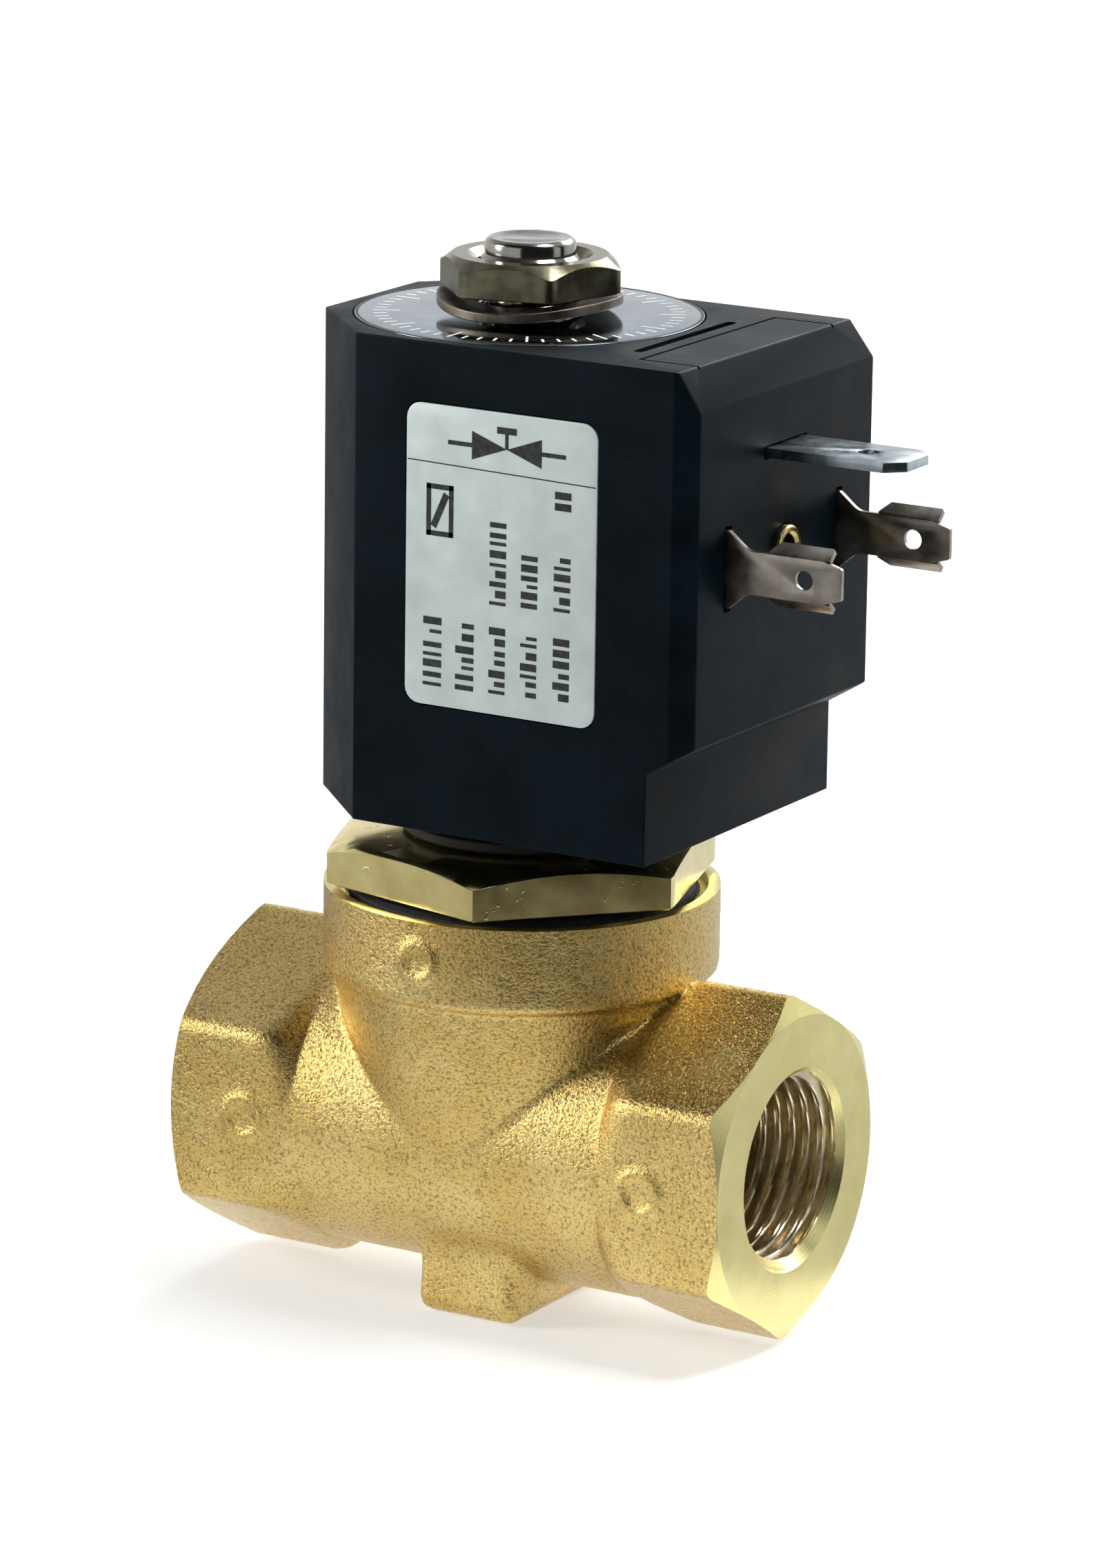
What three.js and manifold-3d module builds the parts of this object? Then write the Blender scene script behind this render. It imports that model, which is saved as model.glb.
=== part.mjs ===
// Two-way solenoid valve, normally closed, with a plug-in coil.
// Millimetres, +Z up along the armature tube, +X along the flow from the inlet to the outlet.
// The origin is the middle of the foot's underside. Inside the valve group, z = 0 is the flow axis.
import * as THREE from "three";
import { mergeVertices } from "three/addons/utils/BufferGeometryUtils.js";
import Module from "manifold-3d";

// Clearances
const TOUCH_GAP = 0.3; // between pieces that touch or are clamped together
const RUN_GAP = 0.15; // round a piece that slides
const BED_GAP = 0.1; // round a small piece bedded in a groove or a pocket
const OVERRUN = 1; // how far a cutting shape runs past the face it opens

// Forged body
const BODY_LENGTH = 52.2;
const PORT_HEX_FLATS = 25.6;
const PORT_HEX_LENGTH = 10.6;
const PORT_CORNER_DROP = 1.0; // how far the end's cone cuts the corners back
const PORT_THREAD_MINOR = 14.95; // G 3/8
const PORT_THREAD_MAJOR = 16.66;
const PORT_THREAD_DEPTH = 11.4;
const PORT_MOUTH_DEPTH = 0.9;
const PORT_MOUTH_CLEARANCE = 0.15; // mouth outside the thread's major radius
const PORT_DRILL_POINT = 2.0; // cone left by the drill at the port's bottom
const PASSAGE_BORE = 9.0;
const BARREL_DIAMETER = 25.6;
const FLOW_AXIS_HEIGHT = 15.0; // above the foot's underside
const FOOT_WIDTH = 9.6;
const FOOT_SPAN = 18.0;
const FOOT_CORNER = 1.2;
const COLLAR_DIAMETER = 32.6;
const COLLAR_HEIGHT = 7.1;
const COLLAR_WALL = 3.3;
const BOWL_STEP = 0.7; // the bowl under the collar is this much smaller in radius
const BOWL_BOTTOM_DIAMETER = 25.2;
const BOWL_OVERLAP = 2.0; // how far the bowl reaches down inside the barrel

// Main seat and the chamber round it
const SEAT_BORE = 10.0;
const SEAT_WALL = 1.9;
const SEAT_HEIGHT = 2.5;
const MAIN_SEAL_OVERLAP = 1.2; // main seal outside the seat's wall
const PASSAGE_ROOF = 2.0; // metal between a flow passage and the chamber floor
const CHAMBER_STEP = 1.1; // ledge under the bonnet skirt
const RISER_BORE = 4.4;

// Bonnet
const BONNET_EDGE = 1.85; // collar's rim outside the hexagon's flats
const BONNET_HEX_HEIGHT = 3.7;
const BONNET_HEX_TURN = 17.2; // degrees the hexagon came to rest at when screwed home
const BONNET_RIM_GAP = 0.6; // between the collar's rim and the hexagon
const BONNET_SKIRT_WALL = 1.7;
const BONNET_ROOF = 4.9;
const BONNET_CORNER_DROP = 0.9;
const BONNET_SEAL_SECTION = 1.6;
const RIM_RECESS_WALL = 1.1; // collar's rim round the recess that the hexagon stands over
const RIM_RECESS_DEPTH = 0.6;

// Servo piston
const MAIN_SEAL_THICKNESS = 2.3;
const MAIN_SEAL_PROUD = 0.8;
const PISTON_HEIGHT = 6.4;
const PISTON_LIFT = 2.4;
const PISTON_RING_HEIGHT = 1.2;
const PISTON_RING_WIDTH = 1.05;
const PISTON_RING_SPLIT = 0.8;
const PISTON_RING_UP = 2.65; // ring's lower face above the piston's lower face
const PISTON_SPRING_OUTSET = 0.4; // spring outside the tube's flange, which it holds up
const PISTON_SPRING_WIRE = 0.5;
const PISTON_SPRING_TURNS = 3;
const PISTON_POCKET_RISE = 0.25; // spring pocket's floor above the ring groove
const NOZZLE_FLANGE_DIAMETER = 8.0;
const NOZZLE_FLANGE_THICKNESS = 0.9;
const NOZZLE_STEM_DIAMETER = 4.0;
const NOZZLE_BORE = 1.4;
const NOZZLE_TIP_WALL = 0.5;
const NOZZLE_PROUD = 0.9;

// Armature tube, plunger and fixed core
const TUBE_DIAMETER = 11.0;
const TUBE_WALL = 0.5;
const TUBE_FLANGE_WIDTH = 2.0; // flange outside the tube
const TUBE_FLANGE_THICKNESS = 1.4;
const PLUNGER_LENGTH = 25.0;
const PLUNGER_CHAMFER = 0.5;
const PLUNGER_LIFT = 1.0; // lift off the pilot nozzle
const PLUNGER_SPARE_TRAVEL = 0.3;
const PLUNGER_SEAL_DIAMETER = 5.0;
const PLUNGER_SEAL_THICKNESS = 2.0;
const PLUNGER_SLOT = 1.0;
const PLUNGER_SPRING_DIAMETER = 4.6;
const PLUNGER_SPRING_WIRE = 0.5;
const PLUNGER_SPRING_TURNS = 6;
const PLUNGER_POCKET_DEPTH = 8.0;
const SHADING_RING_DIAMETER = 7.6;
const SHADING_RING_WIDTH = 0.8;
const SHADING_RING_DEPTH = 0.9;
const CORE_SHOULDER = 0.5; // core's shoulder over the tube's upper end
const STUD_DIAMETER = 8.0; // M8
const STUD_END_DIAMETER = 7.35;
const STUD_END_LENGTH = 1.3;
const STUD_CHAMFER = 0.4;

// Coil
const COIL_WIDTH = 30.0;
const COIL_HEIGHT = 39.8;
const COIL_BACK = 15.0; // axis to the chamfered end
const COIL_FRONT = 23.75; // axis to the terminal face
const COIL_CHAMFER = 8.0;
const COIL_BLOCK_SETBACK = 3.65; // lower block behind the terminal face
const COIL_BLOCK_HEIGHT = 7.5;
const COIL_UNDERSIDE_RISE = 2.2; // slope from the lower block out to the terminal face
const COIL_NEAR_BEVEL_OUT = 1.65; // upright bevel on the labelled side of the terminal face
const COIL_NEAR_BEVEL_ACROSS = 1.3;
const COIL_FAR_BEVEL = 0.7;
const COIL_TOP_BEVEL_OUT = 1.4;
const COIL_TOP_BEVEL_DOWN = 3.3;
const COIL_SIDE_BEVEL_OUT = 2.2;
const COIL_SIDE_BEVEL_DOWN = 4.3;
const COIL_BOSS_DIAMETER = 20.5;
const COIL_BOSS_HEIGHT = 1.45;
const COIL_FLOOR = 1.8;
const COIL_ROOF = 1.6; // plastic between the yoke and the disc label's recess
const GASKET_THICKNESS = 0.9;
const GASKET_INSET = 0.25;
const YOKE_LENGTH = 25.6;
const YOKE_WIDTH = 15.0;
const YOKE_THICKNESS = 2.2;
const BOBBIN_WALL = 0.9;
const BOBBIN_FLANGE_DIAMETER = 20.4;
const BOBBIN_FLANGE_THICKNESS = 1.0;
const WINDING_INSET = 0.4; // winding below the flange's rim

// Labels
const DISC_LABEL_INSET = 0.9; // disc inside the coil's sides
const DISC_LABEL_HOLE = 9.2;
const SIDE_LABEL_WIDTH = 17.5;
const SIDE_LABEL_HEIGHT = 24.4;
const SIDE_LABEL_CORNER = 1.3;
const SIDE_LABEL_OFFSET = 6.6; // label's middle in front of the axis
const SIDE_LABEL_DOWN = 17.1; // label's middle below the coil's top
const LABEL_THICKNESS = 0.25;
const LABEL_PROUD = 0.05;

// Plug interface
const TAB_WIDTH = 6.3;
const TAB_THICKNESS = 0.8;
const TAB_SPACING = 18.0;
const TAB_ROOT = 3.0; // length held in the moulding
const TAB_HOLE = 1.7;
const LINE_TAB_LENGTH = 10.2;
const LINE_TAB_BLADE_WIDTH = 4.8;
const LINE_TAB_NECK = 2.8; // the flared root narrows to the blade over this length
const LINE_TAB_HOLE_BACK = 3.4; // hole's middle from the tip
const EARTH_TAB_LENGTH = 11.8;
const EARTH_TAB_HOLE_BACK = 4.4;
const TAB_TIP_CHAMFER = 1.4;
const TERMINAL_DOWN = 16.4; // line tabs below the coil's top
const EARTH_TAB_UP = 8.3; // earth tab above the line tabs
const PLUG_INSERT_DIAMETER = 4.0;
const PLUG_INSERT_BORE = 2.5; // M3
const PLUG_INSERT_LENGTH = 5.0;
const PLUG_INSERT_PROUD = 0.6;

// Nut and spring washer
const NUT_FLATS = 13.3; // M8
const NUT_HEIGHT = 2.9;
const NUT_CORNER_DROP = 0.75;
const NUT_TURN = 43.9; // degrees
const WASHER_DIAMETER = 15.0;
const WASHER_HOLE = 8.8;
const WASHER_THICKNESS = 0.8;
const WASHER_RISE = 0.75; // how far its sides stand above its middle

// Levels above the flow axis, from the seat to the top of the stud
const chamberFloor = PASSAGE_BORE / 2 + PASSAGE_ROOF;
const seatLevel = chamberFloor + SEAT_HEIGHT;
const pistonBottom = seatLevel + TOUCH_GAP + MAIN_SEAL_PROUD;
const pistonTop = pistonBottom + PISTON_HEIGHT;
const ringGrooveBottom = pistonBottom + PISTON_RING_UP;
const ringGrooveTop = ringGrooveBottom + PISTON_RING_HEIGHT + 2 * RUN_GAP;
const springPocketFloor = ringGrooveTop + PISTON_POCKET_RISE;
const nozzleTop = pistonTop + NOZZLE_PROUD;
const bonnetCeiling = nozzleTop + PISTON_LIFT + RUN_GAP;
const bonnetTop = bonnetCeiling + BONNET_ROOF;
const bonnetHexBottom = bonnetTop - BONNET_HEX_HEIGHT;
const collarTop = bonnetHexBottom - BONNET_RIM_GAP;
const sealGrooveFloor = bonnetHexBottom - TOUCH_GAP - BONNET_SEAL_SECTION - 2 * BED_GAP;
const collarBottom = collarTop - COLLAR_HEIGHT;
const tubeBottom = bonnetCeiling + TOUCH_GAP;
const skirtBottom = ringGrooveBottom - CHAMBER_STEP - TOUCH_GAP;
const plungerBottom = nozzleTop + TOUCH_GAP;
const plungerTop = plungerBottom + PLUNGER_LENGTH;
const coreFace = plungerTop + PISTON_LIFT + PLUNGER_LIFT + PLUNGER_SPARE_TRAVEL;
const gasketBottom = bonnetTop + TOUCH_GAP;
const bossBottom = gasketBottom + GASKET_THICKNESS + TOUCH_GAP;
const coilBottom = bossBottom + COIL_BOSS_HEIGHT;
const coilTop = coilBottom + COIL_HEIGHT;
const labelRecess = TOUCH_GAP + LABEL_THICKNESS - LABEL_PROUD;
const coreShoulderTop = coilTop - labelRecess;
const tubeTop = coreShoulderTop - TOUCH_GAP - CORE_SHOULDER;
const washerBottom = coilTop + LABEL_PROUD + TOUCH_GAP;
const nutBottom = washerBottom + WASHER_THICKNESS + WASHER_RISE + RUN_GAP;
const nutTop = nutBottom + NUT_HEIGHT;
const studEndBottom = nutTop;
const studTop = studEndBottom + STUD_END_LENGTH;
const yokeBottom = coilBottom + COIL_FLOOR + TOUCH_GAP;
const yokeTop = coilTop - labelRecess - COIL_ROOF - TOUCH_GAP;
const terminalLevel = coilTop - TERMINAL_DOWN;

// Radii that neighbouring pieces share
const bonnetBoreRadius = COLLAR_DIAMETER / 2 - COLLAR_WALL;
const skirtRadius = bonnetBoreRadius - TOUCH_GAP;
const cylinderRadius = skirtRadius - BONNET_SKIRT_WALL;
const chamberRadius = bonnetBoreRadius - CHAMBER_STEP;
const sealGrooveRadius = skirtRadius + BONNET_SEAL_SECTION + TOUCH_GAP;
const rimRecessRadius = COLLAR_DIAMETER / 2 - RIM_RECESS_WALL;
const pistonRadius = cylinderRadius - RUN_GAP;
const ringGrooveRadius = cylinderRadius - PISTON_RING_WIDTH - 2 * RUN_GAP;
const mainSealRadius = SEAT_BORE / 2 + SEAT_WALL + MAIN_SEAL_OVERLAP;
const tubeRadius = TUBE_DIAMETER / 2;
const tubeBoreRadius = tubeRadius - TUBE_WALL;
const plungerRadius = tubeBoreRadius - RUN_GAP;
const sleeveRadius = tubeRadius + TOUCH_GAP; // every hole that the tube passes through
const tubeFlangeRadius = tubeRadius + TUBE_FLANGE_WIDTH;
const pistonSpringRadius = tubeFlangeRadius + PISTON_SPRING_OUTSET;
const bobbinBoreRadius = sleeveRadius + TOUCH_GAP;
const bonnetFlats = COLLAR_DIAMETER - 2 * BONNET_EDGE;
const discLabelRadius = COIL_WIDTH / 2 - DISC_LABEL_INSET;

const wasm = await Module();
wasm.setup();

// A closed three.js geometry as a solid that can be joined and cut.
function solid(geometry) {
  const plain = geometry.clone();
  plain.deleteAttribute("normal");
  plain.deleteAttribute("uv");
  const merged = mergeVertices(plain, 1e-4);
  const corners = merged.index.array;
  const kept = [];
  for (let i = 0; i < corners.length; i += 3) {
    const [a, b, c] = [corners[i], corners[i + 1], corners[i + 2]];
    if (a !== b && b !== c && c !== a) kept.push(a, b, c);
  }
  const vertProperties = new Float32Array(merged.attributes.position.array);
  return new wasm.Manifold(new wasm.Mesh({ numProp: 3, vertProperties, triVerts: new Uint32Array(kept) }));
}

// The solid as a three.js geometry again.
function geometryOf(body) {
  const mesh = body.getMesh();
  const geometry = new THREE.BufferGeometry();
  geometry.setAttribute("position", new THREE.BufferAttribute(new Float32Array(mesh.vertProperties), 3));
  geometry.setIndex(new THREE.BufferAttribute(new Uint32Array(mesh.triVerts), 1));
  geometry.computeVertexNormals();
  return geometry;
}

const join = (...bodies) => bodies.reduce((whole, body) => whole.add(body));
const cut = (whole, ...tools) => tools.reduce((rest, tool) => rest.subtract(tool), whole);

// A turned solid about Z. The profile is [radius, z] pairs, anticlockwise with z upwards.
function turned(profile, segments = 32) {
  const points = profile.map(([radius, z]) => new THREE.Vector2(radius, z));
  return solid(new THREE.LatheGeometry(points, segments).rotateX(Math.PI / 2));
}

function disc(radius, bottom, top, segments) {
  return turned([[0, bottom], [radius, bottom], [radius, top], [0, top]], segments);
}

function ring(inner, outer, bottom, top, segments) {
  return turned([[inner, bottom], [outer, bottom], [outer, top], [inner, top], [inner, bottom]], segments);
}

const TO_X_AXIS = new THREE.Matrix4().makeRotationY(Math.PI / 2);
const turnToX = (body) => body.transform(TO_X_AXIS.elements);
const turnAboutZ = (body, degrees) => body.rotate([0, 0, degrees]);
const flipAboutZ = (body) => turnAboutZ(body, 180);

function box(x0, x1, y0, y1, z0, z1) {
  const geometry = new THREE.BoxGeometry(x1 - x0, y1 - y0, z1 - z0);
  return solid(geometry.translate((x0 + x1) / 2, (y0 + y1) / 2, (z0 + z1) / 2));
}

// An outline of [x, y] pairs pushed up from z0 to z1.
function prism(outline, z0, z1) {
  const shape = new THREE.Shape(outline.map(([x, y]) => new THREE.Vector2(x, y)));
  const geometry = new THREE.ExtrudeGeometry(shape, { depth: z1 - z0, bevelEnabled: false });
  return solid(geometry.translate(0, 0, z0));
}

// An outline of [x, z] pairs pushed from y0 to y1.
function prismAlongY(outline, y0, y1) {
  const shape = new THREE.Shape(outline.map(([x, z]) => new THREE.Vector2(x, z)));
  const geometry = new THREE.ExtrudeGeometry(shape, { depth: y1 - y0, bevelEnabled: false });
  return solid(geometry.rotateX(Math.PI / 2).translate(0, y1, 0));
}

function hexagon(flats, bottom, top, degrees) {
  const radius = flats / Math.sqrt(3);
  const corners = [0, 1, 2, 3, 4, 5].map((i) => {
    const angle = THREE.MathUtils.degToRad(degrees - 90 + 60 * i);
    return [radius * Math.cos(angle), radius * Math.sin(angle)];
  });
  return prism(corners, bottom, top);
}

// A round envelope whose cone cuts a hexagon's corners down by cornerDrop at the top end.
function cornerCone(flats, cornerDrop, bottom, top) {
  const inner = flats / 2;
  const corner = flats / Math.sqrt(3);
  const outer = corner + OVERRUN;
  const drop = (cornerDrop * (outer - inner)) / (corner - inner);
  return turned([[0, bottom], [outer, bottom], [outer, top - drop], [inner, top], [0, top]], 48);
}

// A compression spring: a helix with its end turns lying flat.
function springSolid(outerRadius, wire, turns, bottom, top) {
  const path = new THREE.Curve();
  const radius = outerRadius - wire / 2;
  const flatShare = 0.06; // share of the wire in each flat end
  const low = bottom + wire / 2;
  const rise = top - bottom - wire;
  path.getPoint = (t, target = new THREE.Vector3()) => {
    const angle = 2 * Math.PI * turns * t;
    const eased = THREE.MathUtils.smoothstep(t, flatShare, 1 - flatShare);
    return target.set(radius * Math.cos(angle), radius * Math.sin(angle), low + rise * eased);
  };
  const sides = 5;
  const section = new THREE.Shape();
  for (let i = 0; i < sides; i += 1) {
    const angle = (2 * Math.PI * i) / sides;
    const point = [(wire / 2) * Math.cos(angle), (wire / 2) * Math.sin(angle)];
    if (i === 0) section.moveTo(...point);
    else section.lineTo(...point);
  }
  section.closePath();
  const stepsPerTurn = 11;
  const steps = turns * stepsPerTurn;
  return solid(new THREE.ExtrudeGeometry(section, { steps, extrudePath: path, bevelEnabled: false }));
}

// Body

// One hexagonal port end on +X, its face turned flat and its corners turned off.
function portEnd() {
  const face = BODY_LENGTH / 2;
  const back = face - PORT_HEX_LENGTH;
  const cornersUp = 90;
  const corners = hexagon(PORT_HEX_FLATS, back, face, cornersUp);
  return turnToX(corners.intersect(cornerCone(PORT_HEX_FLATS, PORT_CORNER_DROP, back, face)));
}

// The threaded port on +X, at its thread's minor diameter, with a coned mouth.
function portBore() {
  const face = BODY_LENGTH / 2;
  const minor = PORT_THREAD_MINOR / 2;
  const mouth = PORT_THREAD_MAJOR / 2 + PORT_MOUTH_CLEARANCE;
  const bottom = face - PORT_THREAD_DEPTH;
  const drilled = [[0, bottom - PORT_DRILL_POINT], [minor, bottom], [minor, face - PORT_MOUTH_DEPTH]];
  const opening = [[mouth, face], [mouth, face + OVERRUN], [0, face + OVERRUN]];
  return turnToX(turned([...drilled, ...opening]));
}

function forging() {
  const collarRadius = COLLAR_DIAMETER / 2;
  const barrelEnd = BODY_LENGTH / 2 - PORT_HEX_LENGTH + 1;
  const barrel = turnToX(disc(BARREL_DIAMETER / 2, -barrelEnd, barrelEnd));
  const bowlRim = [collarRadius - BOWL_STEP, collarBottom - BOWL_STEP];
  const collar = [[collarRadius, collarBottom], [collarRadius, collarTop], [0, collarTop]];
  const bowlAndCollar = turned([[0, -BOWL_OVERLAP], [BOWL_BOTTOM_DIAMETER / 2, 0], bowlRim, ...collar]);
  const [x, y, c] = [FOOT_WIDTH / 2, FOOT_SPAN / 2, FOOT_CORNER];
  const nearEdge = [[-x, -y + c], [-x + c, -y], [x - c, -y], [x, -y + c]];
  const farEdge = nearEdge.map(([px, py]) => [-px, -py]);
  const foot = prism([...nearEdge, ...farEdge], -FLOW_AXIS_HEIGHT, -BARREL_DIAMETER / 4);
  return join(barrel, bowlAndCollar, foot, portEnd(), flipAboutZ(portEnd()));
}

function valveBody() {
  const seatOuter = SEAT_BORE / 2 + SEAT_WALL;
  const rimRecess = disc(rimRecessRadius, collarTop - RIM_RECESS_DEPTH, collarTop + OVERRUN);
  const sealGroove = disc(sealGrooveRadius, sealGrooveFloor, collarTop + OVERRUN);
  const bonnetBore = disc(bonnetBoreRadius, skirtBottom - TOUCH_GAP, collarTop + OVERRUN);
  const chamber = disc(chamberRadius, seatLevel, skirtBottom);
  const moat = ring(seatOuter, chamberRadius, chamberFloor, seatLevel + TOUCH_GAP);
  const seatBore = disc(SEAT_BORE / 2, 0, seatLevel + OVERRUN);
  const passageRadius = PASSAGE_BORE / 2;
  const threadEnd = BODY_LENGTH / 2 - PORT_THREAD_DEPTH;
  const outletPassage = turnToX(disc(passageRadius, -SEAT_BORE / 4, threadEnd, 32));
  const riserX = (seatOuter + chamberRadius) / 2;
  const inletEnd = riserX - RISER_BORE / 2;
  const inletPassage = flipAboutZ(turnToX(disc(passageRadius, inletEnd, threadEnd, 32)));
  const riser = disc(RISER_BORE / 2, 0, chamberFloor + OVERRUN, 24).translate([-riserX, 0, 0]);
  const upperCuts = join(rimRecess, sealGroove, bonnetBore, chamber, moat);
  const flowCuts = join(seatBore, outletPassage, inletPassage, riser, portBore(), flipAboutZ(portBore()));
  return cut(forging(), upperCuts, flowCuts);
}

// Bonnet and its seal

function bonnetSolid() {
  const hex = hexagon(bonnetFlats, bonnetHexBottom, bonnetTop, BONNET_HEX_TURN);
  const head = hex.intersect(cornerCone(bonnetFlats, BONNET_CORNER_DROP, bonnetHexBottom, bonnetTop));
  const skirt = disc(skirtRadius, skirtBottom, bonnetHexBottom + OVERRUN);
  const cylinder = disc(cylinderRadius, skirtBottom - OVERRUN, bonnetCeiling);
  const seatRadius = tubeFlangeRadius + TOUCH_GAP;
  const seatTop = tubeBottom + TUBE_FLANGE_THICKNESS + TOUCH_GAP;
  const flangeSeat = disc(seatRadius, bonnetCeiling - OVERRUN, seatTop);
  const tubeHole = disc(sleeveRadius, bonnetCeiling, bonnetTop + OVERRUN);
  return cut(join(head, skirt), cylinder, flangeSeat, tubeHole);
}

// A rubber ring of round section.
function sealRing(innerRadius, section, bottom, segments = 48) {
  const middle = innerRadius + section / 2;
  const profile = [];
  const sides = 10;
  for (let i = 0; i <= sides; i += 1) {
    const angle = (2 * Math.PI * (i % sides)) / sides;
    const radius = middle + (section / 2) * Math.cos(angle);
    profile.push([radius, bottom + section / 2 + (section / 2) * Math.sin(angle)]);
  }
  return turned(profile, segments);
}

const bonnetSeal = () => sealRing(skirtRadius + BED_GAP, BONNET_SEAL_SECTION, sealGrooveFloor + BED_GAP);

// Servo piston: a cup with a ring groove, a recess for the main seal and a pocket for its spring

function pistonSolid() {
  const body = disc(pistonRadius, pistonBottom, pistonTop);
  const ringGroove = ring(ringGrooveRadius, pistonRadius + OVERRUN, ringGrooveBottom, ringGrooveTop);
  const sealDepth = MAIN_SEAL_THICKNESS - MAIN_SEAL_PROUD + TOUCH_GAP;
  const recess = disc(mainSealRadius + TOUCH_GAP, pistonBottom - OVERRUN, pistonBottom + sealDepth);
  const pocketInner = pistonSpringRadius - PISTON_SPRING_WIRE - 2 * TOUCH_GAP;
  const pocketOuter = pistonSpringRadius + 2 * TOUCH_GAP;
  const pocket = ring(pocketInner, pocketOuter, springPocketFloor, pistonTop + OVERRUN);
  const stemHole = disc(NOZZLE_STEM_DIAMETER / 2 + TOUCH_GAP, pistonBottom, pistonTop + OVERRUN, 24);
  return cut(body, ringGroove, recess, pocket, stemHole);
}

// A split ring of square section that seals the piston in the bonnet's cylinder.
function pistonRing() {
  const bottom = ringGrooveBottom + RUN_GAP;
  const outer = cylinderRadius - BED_GAP;
  const whole = ring(outer - PISTON_RING_WIDTH, outer, bottom, bottom + PISTON_RING_HEIGHT);
  const half = PISTON_RING_SPLIT / 2;
  const [low, high] = [bottom - OVERRUN, bottom + PISTON_RING_HEIGHT + OVERRUN];
  return cut(whole, box(-half, half, 0, outer + OVERRUN, low, high));
}

function mainSeal() {
  const bottom = seatLevel + TOUCH_GAP;
  return ring(NOZZLE_STEM_DIAMETER / 2 + TOUCH_GAP, mainSealRadius, bottom, bottom + MAIN_SEAL_THICKNESS);
}

// The screw that clamps the main seal; its drilled stem ends in the pilot nozzle.
function pilotNozzle() {
  const flangeTop = seatLevel;
  const flangeBottom = flangeTop - NOZZLE_FLANGE_THICKNESS;
  const stem = NOZZLE_STEM_DIAMETER / 2;
  const flange = NOZZLE_FLANGE_DIAMETER / 2;
  const tip = NOZZLE_BORE / 2 + NOZZLE_TIP_WALL;
  const bore = NOZZLE_BORE / 2;
  const outside = [[flange, flangeBottom], [flange, flangeTop], [stem, flangeTop], [stem, pistonTop]];
  const nozzle = [[tip, nozzleTop], [bore, nozzleTop], [bore, flangeBottom]];
  return turned([[bore, flangeBottom], ...outside, ...nozzle], 24);
}

function pistonSpring() {
  const [bottom, top] = [springPocketFloor + BED_GAP, bonnetCeiling - BED_GAP];
  return springSolid(pistonSpringRadius, PISTON_SPRING_WIRE, PISTON_SPRING_TURNS, bottom, top);
}

// Armature tube with the plunger and the fixed core inside

function armatureTube() {
  const flangeTop = tubeBottom + TUBE_FLANGE_THICKNESS;
  const flange = [[tubeFlangeRadius, tubeBottom], [tubeFlangeRadius, flangeTop]];
  const outside = [...flange, [tubeRadius, flangeTop], [tubeRadius, tubeTop]];
  const mouth = [tubeBoreRadius, tubeBottom];
  return turned([mouth, ...outside, [tubeBoreRadius, tubeTop], mouth]);
}

function plungerSolid() {
  const sealPocket = PLUNGER_SEAL_DIAMETER / 2 + TOUCH_GAP;
  const springPocket = PLUNGER_SPRING_DIAMETER / 2 + TOUCH_GAP;
  const chamfer = PLUNGER_CHAMFER;
  const body = turned([
    [0, plungerBottom + PLUNGER_SEAL_THICKNESS + TOUCH_GAP],
    [sealPocket, plungerBottom + PLUNGER_SEAL_THICKNESS + TOUCH_GAP],
    [sealPocket, plungerBottom + TOUCH_GAP],
    [plungerRadius - chamfer, plungerBottom + TOUCH_GAP],
    [plungerRadius, plungerBottom + TOUCH_GAP + chamfer],
    [plungerRadius, plungerTop - chamfer],
    [plungerRadius - chamfer, plungerTop],
    [springPocket, plungerTop],
    [springPocket, plungerTop - PLUNGER_POCKET_DEPTH],
    [0, plungerTop - PLUNGER_POCKET_DEPTH],
  ]);
  // A groove down each side lets fluid past.
  const depth = plungerRadius - PLUNGER_SLOT;
  const [low, high] = [plungerBottom - OVERRUN, plungerTop + OVERRUN];
  const half = PLUNGER_SLOT / 2;
  const slots = join(box(-half, half, depth, plungerRadius + OVERRUN, low, high));
  return cut(body, slots, flipAboutZ(slots));
}

function plungerSeal() {
  return disc(PLUNGER_SEAL_DIAMETER / 2, plungerBottom, plungerBottom + PLUNGER_SEAL_THICKNESS, 32);
}

function plungerSpring() {
  const [bottom, top] = [plungerTop - PLUNGER_POCKET_DEPTH + BED_GAP, coreFace - BED_GAP];
  return springSolid(PLUNGER_SPRING_DIAMETER / 2, PLUNGER_SPRING_WIRE, PLUNGER_SPRING_TURNS, bottom, top);
}

function fixedCore() {
  const stud = STUD_DIAMETER / 2;
  const end = STUD_END_DIAMETER / 2;
  const grooveOuter = SHADING_RING_DIAMETER / 2 + BED_GAP;
  const grooveInner = SHADING_RING_DIAMETER / 2 - SHADING_RING_WIDTH - BED_GAP;
  const grooveTop = coreFace + SHADING_RING_DEPTH + TOUCH_GAP;
  const coreRadius = plungerRadius;
  return turned([
    [0, coreFace],
    [grooveInner, coreFace],
    [grooveInner, grooveTop],
    [grooveOuter, grooveTop],
    [grooveOuter, coreFace],
    [coreRadius, coreFace],
    [coreRadius, tubeTop + TOUCH_GAP],
    [tubeRadius, tubeTop + TOUCH_GAP],
    [tubeRadius, coreShoulderTop],
    [stud, coreShoulderTop],
    [stud, studEndBottom - (stud - end)],
    [end, studEndBottom],
    [end, studTop - STUD_CHAMFER],
    [end - STUD_CHAMFER, studTop],
    [0, studTop],
  ]);
}

function shadingRing() {
  const outer = SHADING_RING_DIAMETER / 2;
  const bottom = coreFace + BED_GAP;
  return ring(outer - SHADING_RING_WIDTH, outer, bottom, bottom + SHADING_RING_DEPTH);
}

// Coil

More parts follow.
